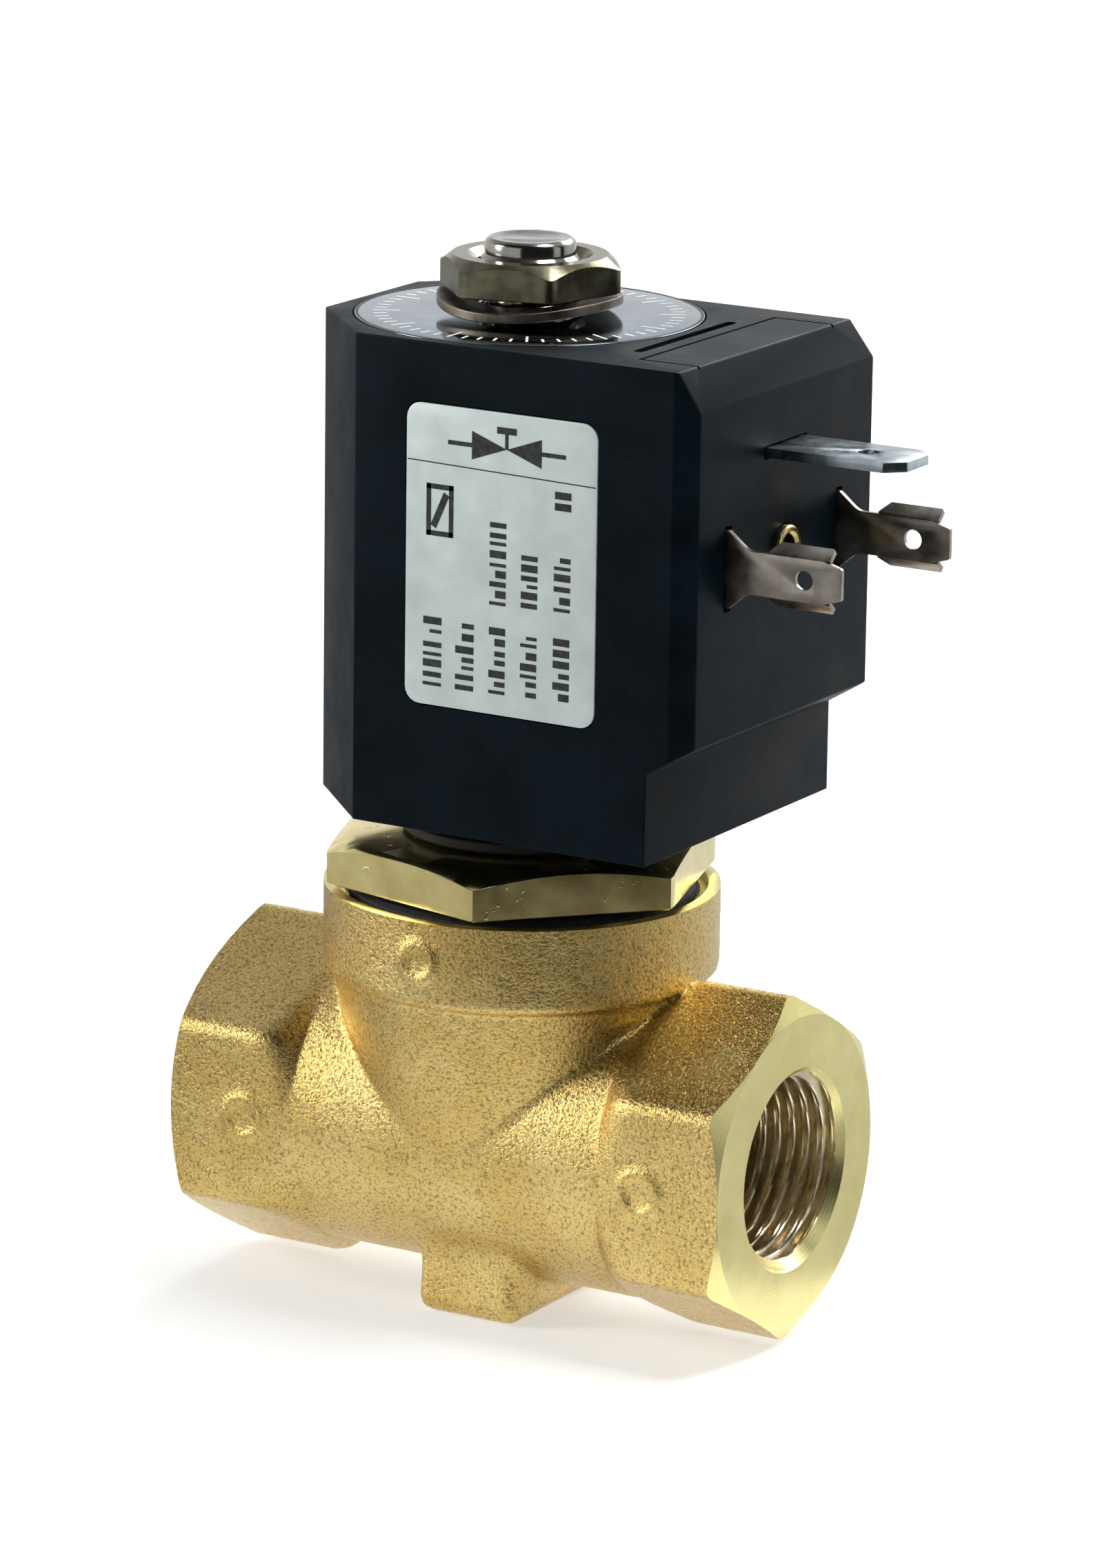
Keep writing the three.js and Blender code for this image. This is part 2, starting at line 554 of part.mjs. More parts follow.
// Seen from above, the moulding is a block with its two rear corners cut off. frontEdge is its other end.
function coilOutline(frontEdge) {
  const side = COIL_WIDTH / 2;
  const [cutX, cutY] = [-COIL_BACK + COIL_CHAMFER, side - COIL_CHAMFER];
  return [[-COIL_BACK, cutY], [-COIL_BACK, -cutY], [cutX, -side], ...frontEdge, [cutX, side]];
}

function coilMoulding() {
  const side = COIL_WIDTH / 2;
  const blockFront = COIL_FRONT - COIL_BLOCK_SETBACK;
  const blockTop = coilBottom + COIL_BLOCK_HEIGHT;
  const blockEdge = [[blockFront, -side], [blockFront, side]];
  const lower = prism(coilOutline(blockEdge), coilBottom, blockTop + OVERRUN);
  const terminalEdge = [
    [COIL_FRONT - COIL_NEAR_BEVEL_OUT, -side],
    [COIL_FRONT, -side + COIL_NEAR_BEVEL_ACROSS],
    [COIL_FRONT, side - COIL_FAR_BEVEL],
    [COIL_FRONT - COIL_FAR_BEVEL, side],
  ];
  const upper = prism(coilOutline(terminalEdge), blockTop, coilTop);
  const underside = prismAlongY(
    [
      [blockFront, blockTop],
      [blockFront, blockTop - OVERRUN],
      [COIL_FRONT + OVERRUN, blockTop - OVERRUN],
      [COIL_FRONT + OVERRUN, blockTop + COIL_UNDERSIDE_RISE],
      [COIL_FRONT, blockTop + COIL_UNDERSIDE_RISE],
    ],
    -side - OVERRUN,
    side + OVERRUN,
  );
  const boss = disc(COIL_BOSS_DIAMETER / 2, bossBottom, coilBottom + OVERRUN);
  const frontBevel = prismAlongY(
    [
      [COIL_FRONT - COIL_TOP_BEVEL_OUT, coilTop],
      [COIL_FRONT, coilTop - COIL_TOP_BEVEL_DOWN],
      [COIL_FRONT + OVERRUN, coilTop - COIL_TOP_BEVEL_DOWN],
      [COIL_FRONT + OVERRUN, coilTop + OVERRUN],
      [COIL_FRONT - COIL_TOP_BEVEL_OUT, coilTop + OVERRUN],
    ],
    -side - OVERRUN,
    side + OVERRUN,
  );
  // The same kind of bevel along the far side, made along Y and turned to lie along X.
  const sideBevel = turnAboutZ(
    prismAlongY(
      [
        [side - COIL_SIDE_BEVEL_OUT, coilTop],
        [side, coilTop - COIL_SIDE_BEVEL_DOWN],
        [side + OVERRUN, coilTop - COIL_SIDE_BEVEL_DOWN],
        [side + OVERRUN, coilTop + OVERRUN],
        [side - COIL_SIDE_BEVEL_OUT, coilTop + OVERRUN],
      ],
      -COIL_FRONT - OVERRUN,
      COIL_BACK + OVERRUN,
    ),
    90,
  );
  return cut(join(lower, cut(upper, underside), boss), frontBevel, sideBevel);
}

// The room inside the moulding for the bobbin, the winding and the yoke.
function coilCavity() {
  const gap = TOUCH_GAP;
  const [x, y] = [YOKE_LENGTH / 2 + gap, YOKE_WIDTH / 2 + gap];
  const yokeRoom = box(-x, x, -y, y, yokeBottom - gap, yokeTop + gap);
  const flangeRadius = BOBBIN_FLANGE_DIAMETER / 2 + gap;
  const windingRoom = disc(flangeRadius, yokeBottom + YOKE_THICKNESS, yokeTop - YOKE_THICKNESS);
  return join(yokeRoom, windingRoom, disc(sleeveRadius, bossBottom - OVERRUN, coilTop + OVERRUN));
}

function sideLabelPlate(width, height, y0, y1) {
  const [x0, z0] = [SIDE_LABEL_OFFSET - width / 2, coilTop - SIDE_LABEL_DOWN - height / 2];
  const r = SIDE_LABEL_CORNER;
  const shape = new THREE.Shape();
  shape.moveTo(x0 + r, z0);
  shape.lineTo(x0 + width - r, z0);
  shape.absarc(x0 + width - r, z0 + r, r, -Math.PI / 2, 0);
  shape.lineTo(x0 + width, z0 + height - r);
  shape.absarc(x0 + width - r, z0 + height - r, r, 0, Math.PI / 2);
  shape.lineTo(x0 + r, z0 + height);
  shape.absarc(x0 + r, z0 + height - r, r, Math.PI / 2, Math.PI);
  shape.lineTo(x0, z0 + r);
  shape.absarc(x0 + r, z0 + r, r, Math.PI, 1.5 * Math.PI);
  const options = { depth: y1 - y0, bevelEnabled: false, curveSegments: 5 };
  const geometry = new THREE.ExtrudeGeometry(shape, options);
  return solid(geometry.rotateX(Math.PI / 2).translate(0, y1, 0));
}

function sideLabel() {
  const outside = -COIL_WIDTH / 2 - LABEL_PROUD;
  return sideLabelPlate(SIDE_LABEL_WIDTH, SIDE_LABEL_HEIGHT, outside, outside + LABEL_THICKNESS);
}

function discLabel() {
  const top = coilTop + LABEL_PROUD;
  return ring(DISC_LABEL_HOLE / 2, discLabelRadius, top - LABEL_THICKNESS, top);
}

function coilHousing() {
  const side = COIL_WIDTH / 2;
  const [labelWidth, labelHeight] = [SIDE_LABEL_WIDTH + 2 * TOUCH_GAP, SIDE_LABEL_HEIGHT + 2 * TOUCH_GAP];
  const sideRecess = sideLabelPlate(labelWidth, labelHeight, -side - OVERRUN, -side + labelRecess);
  const discRecess = disc(discLabelRadius + TOUCH_GAP, coilTop - labelRecess, coilTop + OVERRUN);
  const [depth, gap] = [TAB_ROOT + TOUCH_GAP, TOUCH_GAP];
  const x0 = COIL_FRONT - depth;
  const x1 = COIL_FRONT + OVERRUN;
  const halfWidth = TAB_WIDTH / 2 + gap;
  const halfThick = TAB_THICKNESS / 2 + gap;
  const slots = [-1, 1].map((sign) => {
    const y = (sign * TAB_SPACING) / 2;
    return box(x0, x1, y - halfThick, y + halfThick, terminalLevel - halfWidth, terminalLevel + halfWidth);
  });
  const earthLevel = terminalLevel + EARTH_TAB_UP;
  const earthSlot = box(x0, x1, -halfWidth, halfWidth, earthLevel - halfThick, earthLevel + halfThick);
  const insertEnd = COIL_FRONT + PLUG_INSERT_PROUD - PLUG_INSERT_LENGTH - gap;
  const insertDrill = turnToX(disc(PLUG_INSERT_DIAMETER / 2 + gap, insertEnd, x1, 24));
  const insertHole = insertDrill.translate([0, 0, terminalLevel]);
  return cut(coilMoulding(), coilCavity(), sideRecess, discRecess, ...slots, earthSlot, insertHole);
}

function bobbinSolid() {
  const bottom = yokeBottom + YOKE_THICKNESS + TOUCH_GAP;
  const top = yokeTop - YOKE_THICKNESS - TOUCH_GAP;
  const flange = BOBBIN_FLANGE_DIAMETER / 2;
  const wall = bobbinBoreRadius + BOBBIN_WALL;
  const t = BOBBIN_FLANGE_THICKNESS;
  const lower = [[bobbinBoreRadius, bottom], [flange, bottom], [flange, bottom + t], [wall, bottom + t]];
  const upper = [[wall, top - t], [flange, top - t], [flange, top], [bobbinBoreRadius, top]];
  return turned([...lower, ...upper, [bobbinBoreRadius, bottom]]);
}

function windingSolid() {
  const inset = YOKE_THICKNESS + BOBBIN_FLANGE_THICKNESS + 2 * TOUCH_GAP;
  const inner = bobbinBoreRadius + BOBBIN_WALL + TOUCH_GAP;
  return ring(inner, BOBBIN_FLANGE_DIAMETER / 2 - WINDING_INSET, yokeBottom + inset, yokeTop - inset);
}

// The yoke is a steel strap bent over the winding; a flat plate closes it below.
function yokeSolid() {
  const [x, y, t] = [YOKE_LENGTH / 2, YOKE_WIDTH / 2, YOKE_THICKNESS];
  const legBottom = yokeBottom + t + TOUCH_GAP;
  const strap = box(-x, x, -y, y, legBottom, yokeTop);
  const inside = box(-x + t, x - t, -y - OVERRUN, y + OVERRUN, legBottom - OVERRUN, yokeTop - t);
  return cut(strap, inside, disc(sleeveRadius, yokeTop - t - OVERRUN, yokeTop + OVERRUN));
}

function yokePlate() {
  const [x, y] = [YOKE_LENGTH / 2, YOKE_WIDTH / 2];
  const plate = box(-x, x, -y, y, yokeBottom, yokeBottom + YOKE_THICKNESS);
  return cut(plate, disc(sleeveRadius, yokeBottom - OVERRUN, yokeBottom + YOKE_THICKNESS + OVERRUN));
}

function coilGasket() {
  const outer = COIL_BOSS_DIAMETER / 2 - GASKET_INSET;
  return ring(sleeveRadius + TOUCH_GAP, outer, gasketBottom, gasketBottom + GASKET_THICKNESS);
}

// Plug interface

// A line tab lies in the XZ plane. Its flared root stands against the moulding, and its tip is chamfered.
function lineTab(y) {
  const [root, blade] = [TAB_WIDTH / 2, LINE_TAB_BLADE_WIDTH / 2];
  const [start, tip] = [COIL_FRONT - TAB_ROOT, COIL_FRONT + LINE_TAB_LENGTH];
  const upper = [
    [tip, blade - TAB_TIP_CHAMFER],
    [tip - TAB_TIP_CHAMFER, blade],
    [COIL_FRONT + LINE_TAB_NECK, blade],
    [COIL_FRONT + LINE_TAB_NECK / 4, blade + (root - blade) / 2],
    [COIL_FRONT, root],
    [start, root],
  ];
  const lower = upper.map(([x, z]) => [x, -z]).reverse();
  const outline = [...lower, ...upper].map(([x, z]) => [x, z + terminalLevel]);
  const hole = holeAcross(tip - LINE_TAB_HOLE_BACK, y);
  return cut(prismAlongY(outline, y - TAB_THICKNESS / 2, y + TAB_THICKNESS / 2), hole);
}

function holeAcross(x, y) {
  const drill = disc(TAB_HOLE / 2, -TAB_THICKNESS, TAB_THICKNESS, 20);
  return drill.rotate([90, 0, 0]).translate([x, y, terminalLevel]);
}

function earthTab() {
  const half = TAB_WIDTH / 2;
  const [start, tip] = [COIL_FRONT - TAB_ROOT, COIL_FRONT + EARTH_TAB_LENGTH];
  const z = terminalLevel + EARTH_TAB_UP;
  const nearEdge = [[start, -half], [tip - TAB_TIP_CHAMFER, -half], [tip, -half + TAB_TIP_CHAMFER]];
  const farEdge = nearEdge.map(([x, y]) => [x, -y]).reverse();
  const plate = prism([...nearEdge, ...farEdge], z - TAB_THICKNESS / 2, z + TAB_THICKNESS / 2);
  const hole = disc(TAB_HOLE / 2, z - TAB_THICKNESS, z + TAB_THICKNESS, 20);
  return cut(plate, hole.translate([tip - EARTH_TAB_HOLE_BACK, 0, 0]));
}

function plugInsert() {
  const end = COIL_FRONT + PLUG_INSERT_PROUD;
  const start = end - PLUG_INSERT_LENGTH;
  const tube = ring(PLUG_INSERT_BORE / 2, PLUG_INSERT_DIAMETER / 2, start, end, 24);
  return turnToX(tube).translate([0, 0, terminalLevel]);
}

// Fasteners on the stud

// A spring washer bent about Y, so that its sides stand above its middle.
function springWasher() {
  const radius = WASHER_DIAMETER / 2;
  const steps = 12;
  const lower = [];
  for (let i = 0; i <= steps; i += 1) {
    const x = (radius + OVERRUN) * ((2 * i) / steps - 1);
    lower.push([x, washerBottom + WASHER_RISE * (x / radius) ** 2]);
  }
  const upper = lower.map(([x, z]) => [x, z + WASHER_THICKNESS]).reverse();
  const strip = prismAlongY([...lower, ...upper], -radius - OVERRUN, radius + OVERRUN);
  return strip.intersect(ring(WASHER_HOLE / 2, radius, washerBottom - OVERRUN, nutTop));
}

function coilNut() {
  const hex = hexagon(NUT_FLATS, nutBottom, nutTop, NUT_TURN);
  const envelope = cornerCone(NUT_FLATS, NUT_CORNER_DROP, nutBottom, nutTop);
  const bore = disc(STUD_DIAMETER / 2 + TOUCH_GAP, nutBottom - OVERRUN, nutTop + OVERRUN);
  return cut(hex.intersect(envelope), bore);
}

// Assembly

const finish = (color, roughness, metalness) => ({ color, roughness, metalness });
const FORGED_BRASS = finish(0xc9a961, 0.45, 1);
const TURNED_BRASS = finish(0xc8bd7c, 0.25, 1);
const STAINLESS = finish(0x9a978e, 0.3, 1);
const NICKEL_PLATE = finish(0x8d8a80, 0.3, 1);
const SPRING_STEEL = finish(0x5a554d, 0.45, 1);
const YOKE_STEEL = finish(0x6d7072, 0.55, 1);
const COPPER = finish(0xb06a3c, 0.35, 1);
const BLACK_PLASTIC = finish(0x0f1c22, 0.5, 0);
const BOBBIN_PLASTIC = finish(0xd8d4c4, 0.5, 0);
const BLACK_RUBBER = finish(0x16181a, 0.8, 0);
const FLUORO_RUBBER = finish(0x6a2f22, 0.75, 0);
const PISTON_RING_PLASTIC = finish(0xe8e6df, 0.4, 0);
const LABEL_FILM = finish(0xcfd8d2, 0.4, 0.3);

const valve = new THREE.Group();
valve.position.z = FLOW_AXIS_HEIGHT; // the foot's underside is at zero

function place(group, pieces) {
  for (const [name, body, look] of pieces) {
    const mesh = new THREE.Mesh(geometryOf(body), new THREE.MeshStandardMaterial(look));
    mesh.name = name;
    group.add(mesh);
  }
}

const fixedPieces = new THREE.Group();
place(fixedPieces, [
  ["valve_body", valveBody(), FORGED_BRASS],
  ["bonnet_seal", bonnetSeal(), BLACK_RUBBER],
  ["bonnet", bonnetSolid(), TURNED_BRASS],
  ["armature_tube", armatureTube(), STAINLESS],
  ["fixed_core", fixedCore(), STAINLESS],
  ["shading_ring", shadingRing(), COPPER],
  ["plunger_spring", plungerSpring(), STAINLESS],
  ["piston_spring", pistonSpring(), STAINLESS],
  ["spring_washer", springWasher(), SPRING_STEEL],
  ["coil_nut", coilNut(), NICKEL_PLATE],
]);

const pistonPieces = new THREE.Group();
place(pistonPieces, [
  ["servo_piston", pistonSolid(), TURNED_BRASS],
  ["piston_ring", pistonRing(), PISTON_RING_PLASTIC],
  ["main_seal", mainSeal(), BLACK_RUBBER],
  ["pilot_nozzle", pilotNozzle(), STAINLESS],
]);

const plungerPieces = new THREE.Group();
place(plungerPieces, [
  ["plunger", plungerSolid(), STAINLESS],
  ["plunger_seal", plungerSeal(), FLUORO_RUBBER],
]);

const coilPieces = new THREE.Group();
place(coilPieces, [
  ["coil_housing", coilHousing(), BLACK_PLASTIC],
  ["bobbin", bobbinSolid(), BOBBIN_PLASTIC],
  ["winding", windingSolid(), COPPER],
  ["yoke", yokeSolid(), YOKE_STEEL],
  ["yoke_plate", yokePlate(), YOKE_STEEL],
  ["coil_gasket", coilGasket(), BLACK_RUBBER],
  ["line_tab_near", lineTab(-TAB_SPACING / 2), NICKEL_PLATE],
  ["line_tab_far", lineTab(TAB_SPACING / 2), NICKEL_PLATE],
  ["earth_tab", earthTab(), NICKEL_PLATE],
  ["plug_screw_insert", plugInsert(), TURNED_BRASS],
  ["side_label", sideLabel(), LABEL_FILM],
  ["disc_label", discLabel(), LABEL_FILM],
]);

valve.add(fixedPieces, pistonPieces, plungerPieces, coilPieces);

const solenoidValve = new THREE.Group();
solenoidValve.add(valve);

export default solenoidValve;
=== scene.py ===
"""Two-way solenoid valve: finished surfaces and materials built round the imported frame."""
import math

import bmesh
import bpy
import numpy as np
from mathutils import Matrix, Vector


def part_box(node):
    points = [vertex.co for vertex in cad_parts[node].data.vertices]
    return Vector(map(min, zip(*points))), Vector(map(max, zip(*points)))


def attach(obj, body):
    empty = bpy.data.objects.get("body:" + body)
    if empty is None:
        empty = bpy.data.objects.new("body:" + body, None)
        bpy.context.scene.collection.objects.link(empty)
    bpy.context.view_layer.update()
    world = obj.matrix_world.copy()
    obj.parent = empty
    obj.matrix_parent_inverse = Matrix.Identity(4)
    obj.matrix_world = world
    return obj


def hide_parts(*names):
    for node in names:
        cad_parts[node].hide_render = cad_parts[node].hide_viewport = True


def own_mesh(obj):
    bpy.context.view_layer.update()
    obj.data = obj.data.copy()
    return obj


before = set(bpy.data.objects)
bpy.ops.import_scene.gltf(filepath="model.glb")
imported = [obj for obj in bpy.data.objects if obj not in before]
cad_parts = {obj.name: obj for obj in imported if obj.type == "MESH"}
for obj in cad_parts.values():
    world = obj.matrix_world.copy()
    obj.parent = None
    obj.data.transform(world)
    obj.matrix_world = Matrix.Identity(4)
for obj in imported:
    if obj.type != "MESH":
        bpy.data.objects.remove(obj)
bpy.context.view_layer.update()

import openvdb
from bpy.props import FloatProperty, FloatVectorProperty, IntProperty, PointerProperty
from mathutils import Matrix, Vector

bl_info = {
    "name": "Solenoid valve",
    "version": (1, 0, 0),
    "blender": (4, 5, 0),
    "location": "3D View > Sidebar > Valve",
    "description": "Builds the forged body, bonnet, coil and fittings of a two-way solenoid valve",
    "category": "Object",
}

MM = 0.001
TURN = 2 * math.pi


# Colours


def linear(code):
    """An sRGB hex colour as linear red, green, blue and alpha."""
    parts = [int(code[i:i + 2], 16) / 255 for i in (1, 3, 5)]
    return [p / 12.92 if p <= 0.04045 else ((p + 0.055) / 1.055) ** 2.4 for p in parts] + [1.0]


def colour(name, description, code):
    """A colour that the sidebar shows, from its sRGB hex value."""
    return FloatVectorProperty(name=name, description=description, subtype="COLOR", size=4, min=0, max=1,
                               default=linear(code))


def length(name, description, millimetres):
    """A length that the sidebar shows, from its value in millimetres."""
    return FloatProperty(name=name, description=description, default=millimetres * MM, min=0, unit="LENGTH",
                         precision=5)


# Levels and sizes in millimetres, taken from the frame where it has them


def cad_box(node):
    """A CAD node's lowest and highest corner."""
    low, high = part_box(node)
    return low / MM, high / MM


BODY_LOW, BODY_HIGH = cad_box("valve_body")
BONNET_LOW, BONNET_HIGH = cad_box("bonnet")
COIL_LOW, COIL_HIGH = cad_box("coil_housing")
NUT_LOW, NUT_HIGH = cad_box("coil_nut")
STUD_LOW, STUD_HIGH = cad_box("fixed_core")
LABEL_LOW, LABEL_HIGH = cad_box("side_label")
DISC_LOW, DISC_HIGH = cad_box("disc_label")
TAB_LOW, TAB_HIGH = cad_box("line_tab_near")
EARTH_LOW, EARTH_HIGH = cad_box("earth_tab")
FACE = BODY_HIGH.x  # flow axis origin to a port's face
FLOW_AXIS = 15.0  # height of the ports' axis
COIL_SIDE = 15.0  # half the coil's width


# Outlines and meshes, in millimetres


def filleted(points, steps=5):
    """A closed outline whose corners are rounded. Each point is (x, y) or (x, y, radius)."""
    count = len(points)
    made = []
    for i, point in enumerate(points):
        radius = point[2] if len(point) > 2 else 0
        here = Vector(point[:2])
        if radius == 0:
            made.append(tuple(here))
            continue
        before = Vector(points[i - 1][:2]) - here
        after = Vector(points[(i + 1) % count][:2]) - here
        half = before.angle(after) / 2
        reach = min(radius / math.tan(half), before.length * 0.49, after.length * 0.49)
        radius = reach * math.tan(half)
        middle = here + (before.normalized() + after.normalized()).normalized() * (radius / math.sin(half))
        start = here + before.normalized() * reach - middle
        sweep = start.angle_signed(here + after.normalized() * reach - middle)
        for k in range(steps + 1):
            angle = -sweep * k / steps
            cosine, sine = math.cos(angle), math.sin(angle)
            made.append((middle.x + start.x * cosine - start.y * sine,
                         middle.y + start.x * sine + start.y * cosine))
    return made


def hexagon_radius(angles, flats, turn):
    """Distance from the axis to a hexagon's side, at each angle."""
    third = TURN / 6
    off = (angles - turn) % third - third / 2
    return flats / 2 / np.cos(off)


def ring_of(radius, level, angles):
    """A ring of points about Z. Radius and level are numbers or one value for each angle."""
    ring = np.zeros((len(angles), 3))
    ring[:, 0] = radius * np.cos(angles)
    ring[:, 1] = radius * np.sin(angles)
    ring[:, 2] = level
    return ring


def skin(rings, wrap):
    """Points and faces of a stack of rings. It closes on itself, or its two ends are covered."""
    count, around = len(rings), len(rings[0])
    points = np.concatenate(rings)
    faces = []
    for i in range(count if wrap else count - 1):
        low, high = i * around, (i + 1) % count * around
        for j in range(around):
            k = (j + 1) % around
            faces.append((low + j, low + k, high + k, high + j))
    if not wrap:
        faces.append(tuple(reversed(range(around))))
        faces.append(tuple(range((count - 1) * around, count * around)))
    return points, faces


def lathe(profile, segments=96, wrap=True):
    """A turned solid about Z from (radius, level) points, anticlockwise with levels upwards."""
    angles = np.arange(segments) * TURN / segments
    return skin([ring_of(max(radius, 0), level, angles) for radius, level in profile], wrap)


def cylinder(radius, low, high, segments=64):
    """A solid cylinder about Z."""
    return lathe([(0, low), (radius, low), (radius, high), (0, high)], segments, wrap=False)


def prism(outline, low, high):
    """An outline of (x, y) points pushed up from low to high."""
    count = len(outline)
    flat = np.array(outline)
    points = np.concatenate([np.column_stack([flat, np.full(count, level)]) for level in (low, high)])
    faces = [(i, (i + 1) % count, (i + 1) % count + count, i + count) for i in range(count)]
    return points, faces + [tuple(reversed(range(count))), tuple(range(count, 2 * count))]


def moved(solid, matrix):
    """A solid turned and shifted by a matrix."""
    points, faces = solid
    turned = np.array(matrix.to_3x3()) @ points.T
    return turned.T + np.array(matrix.translation), faces


def box_solid(low, high):
    """A block between two corners."""
    outline = [(low[0], low[1]), (high[0], low[1]), (high[0], high[1]), (low[0], high[1])]
    return prism(outline, low[2], high[2])


TO_X = Matrix.Rotation(math.pi / 2, 4, "Y")
HALF_TURN = Matrix.Rotation(math.pi, 4, "Z")
UPRIGHT = Matrix.Rotation(math.pi / 2, 4, "X")  # an outline's second coordinate becomes Z


def mesh_object(name, solid, materials=(), index=0):
    """An object from points in millimetres and faces, with its normals turned outwards."""
    points, faces = solid
    mesh = bpy.data.meshes.new(name)
    mesh.from_pydata((points * MM).tolist(), [], faces)
    work = bmesh.new()
    work.from_mesh(mesh)
    bmesh.ops.remove_doubles(work, verts=work.verts, dist=1e-4 * MM)
    bmesh.ops.dissolve_degenerate(work, edges=work.edges, dist=1e-5 * MM)
    bmesh.ops.recalc_face_normals(work, faces=work.faces)
    for face in work.faces:
        face.material_index = index
    work.to_mesh(mesh)
    work.free()
    for material in materials:
        mesh.materials.append(material)
    made = bpy.data.objects.new(name, mesh)
    bpy.context.scene.collection.objects.link(made)
    return made


def bake_modifiers(made):
    """Replaces an object's mesh by what its modifiers make of it."""
    depsgraph = bpy.context.evaluated_depsgraph_get()
    mesh = bpy.data.meshes.new_from_object(made.evaluated_get(depsgraph))
    old = made.data
    made.modifiers.clear()
    made.data = mesh
    bpy.data.meshes.remove(old)
    mesh.name = made.name


def combine(made, solid, operation, index=0, solver="MANIFOLD"):
    """Joins, cuts or trims an object by a solid, whose faces keep their own material index."""
    tool = mesh_object("tool", solid, made.data.materials, index)
    modifier = made.modifiers.new(operation, "BOOLEAN")
    modifier.operation = operation
    modifier.solver = solver
    modifier.object = tool
    bake_modifiers(made)
    used = tool.data
    bpy.data.objects.remove(tool)
    bpy.data.meshes.remove(used)
    if not made.data.polygons:
        raise RuntimeError(f"{made.name} vanished in a {operation.lower()}")


def soften(made, width, segments=2, angle=30):
    """Rounds an object's edges."""
    modifier = made.modifiers.new("edges", "BEVEL")
    modifier.width = width * MM
    modifier.segments = segments
    modifier.limit_method = "ANGLE"
    modifier.angle_limit = math.radians(angle)
    modifier.use_clamp_overlap = True
    bake_modifiers(made)


def finish_piece(made, body, replaced, sharp=32):
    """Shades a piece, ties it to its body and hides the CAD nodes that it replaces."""
    made.data.shade_smooth()
    made.data.set_sharp_from_angle(angle=math.radians(sharp))
    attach(made, body)
    if replaced:
        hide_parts(*replaced)


def thread_profile(phase):
    """Height of a thread between root and crest, 0 to 1, over one pitch."""
    flank = 1 - np.abs(2 * (phase % 1) - 1)
    flat = np.clip(flank * 1.3 - 0.15, 0, 1)
    return flat * flat * (3 - 2 * flat)


# Materials


def add_node(tree, kind, inputs=None, **settings):
    """Adds a node with its settings; an input is a value, or another node's output to link."""
    made = tree.nodes.new(kind)
    for key, value in settings.items():
        setattr(made, key, value)
    for key, value in (inputs or {}).items():
        if isinstance(value, bpy.types.NodeSocket):
            tree.links.new(value, made.inputs[key])
        else:
            made.inputs[key].default_value = value
    return made


def new_material(name, **constants):
    """A principled material with constants on its own sockets, with its tree, shader and coordinates."""
    material = bpy.data.materials.new(name)
    material.use_nodes = True
    tree = material.node_tree
    shader = next(n for n in tree.nodes if n.type == "BSDF_PRINCIPLED")
    for key, value in constants.items():
        shader.inputs[key.replace("_", " ")].default_value = value
    place = add_node(tree, "ShaderNodeTexCoord").outputs["Object"]
    return material, tree, shader, place


def noise_of(tree, place, size, detail=3.0, rough=0.55):
    """Noise whose features are about size millimetres across."""
    settings = {"Vector": place, "Scale": 1 / (size * MM), "Detail": detail, "Roughness": rough}
    return add_node(tree, "ShaderNodeTexNoise", settings).outputs["Fac"]


def spread(tree, value, low, high, to_low=0.0, to_high=1.0):
    """Maps a value from one range to another, and holds it there."""
    settings = {"Value": value, "From Min": low, "From Max": high, "To Min": to_low, "To Max": to_high}
    return add_node(tree, "ShaderNodeMapRange", settings).outputs["Result"]


def mixed(tree, share, first, second):
    """Mixes two colours."""
    made = add_node(tree, "ShaderNodeMix", data_type="RGBA")
    for key, value in ((0, share), (6, first), (7, second)):
        if isinstance(value, bpy.types.NodeSocket):
            tree.links.new(value, made.inputs[key])
        else:
            made.inputs[key].default_value = value
    return made.outputs[2]


def bumped(tree, height, depth, strength=1.0, under=None):
    """A bump of that depth in millimetres, on top of another one."""
    inputs = {"Height": height, "Distance": depth * MM, "Strength": strength}
    if under is not None:
        inputs["Normal"] = under
    return add_node(tree, "ShaderNodeBump", inputs).outputs["Normal"]


def forged_brass(look):
    """Hot-forged brass, shot blasted. Fine dimples scatter the light into bright and dark grains."""
    material, tree, shader, place = new_material("forged_blasted_brass", Metallic=1.0)
    dimples = noise_of(tree, place, 0.26, 3.0, 0.72)  # blasting grit of 0.2 to 0.4 mm
    patches = noise_of(tree, place, 7.0, 2.0)
    toned = mixed(tree, spread(tree, patches, 0.35, 0.7), look.forged_deep, look.forged_colour)
    pitted = mixed(tree, spread(tree, dimples, 0.36, 0.5, 0.15, 1.0), look.forged_pit, toned)
    tree.links.new(pitted, shader.inputs["Base Color"])
    tree.links.new(spread(tree, patches, 0.3, 0.7, 0.2, 0.28), shader.inputs["Roughness"])
    grain = bumped(tree, dimples, 0.1, 1.0)
    tree.links.new(grain, shader.inputs["Normal"])
    return material


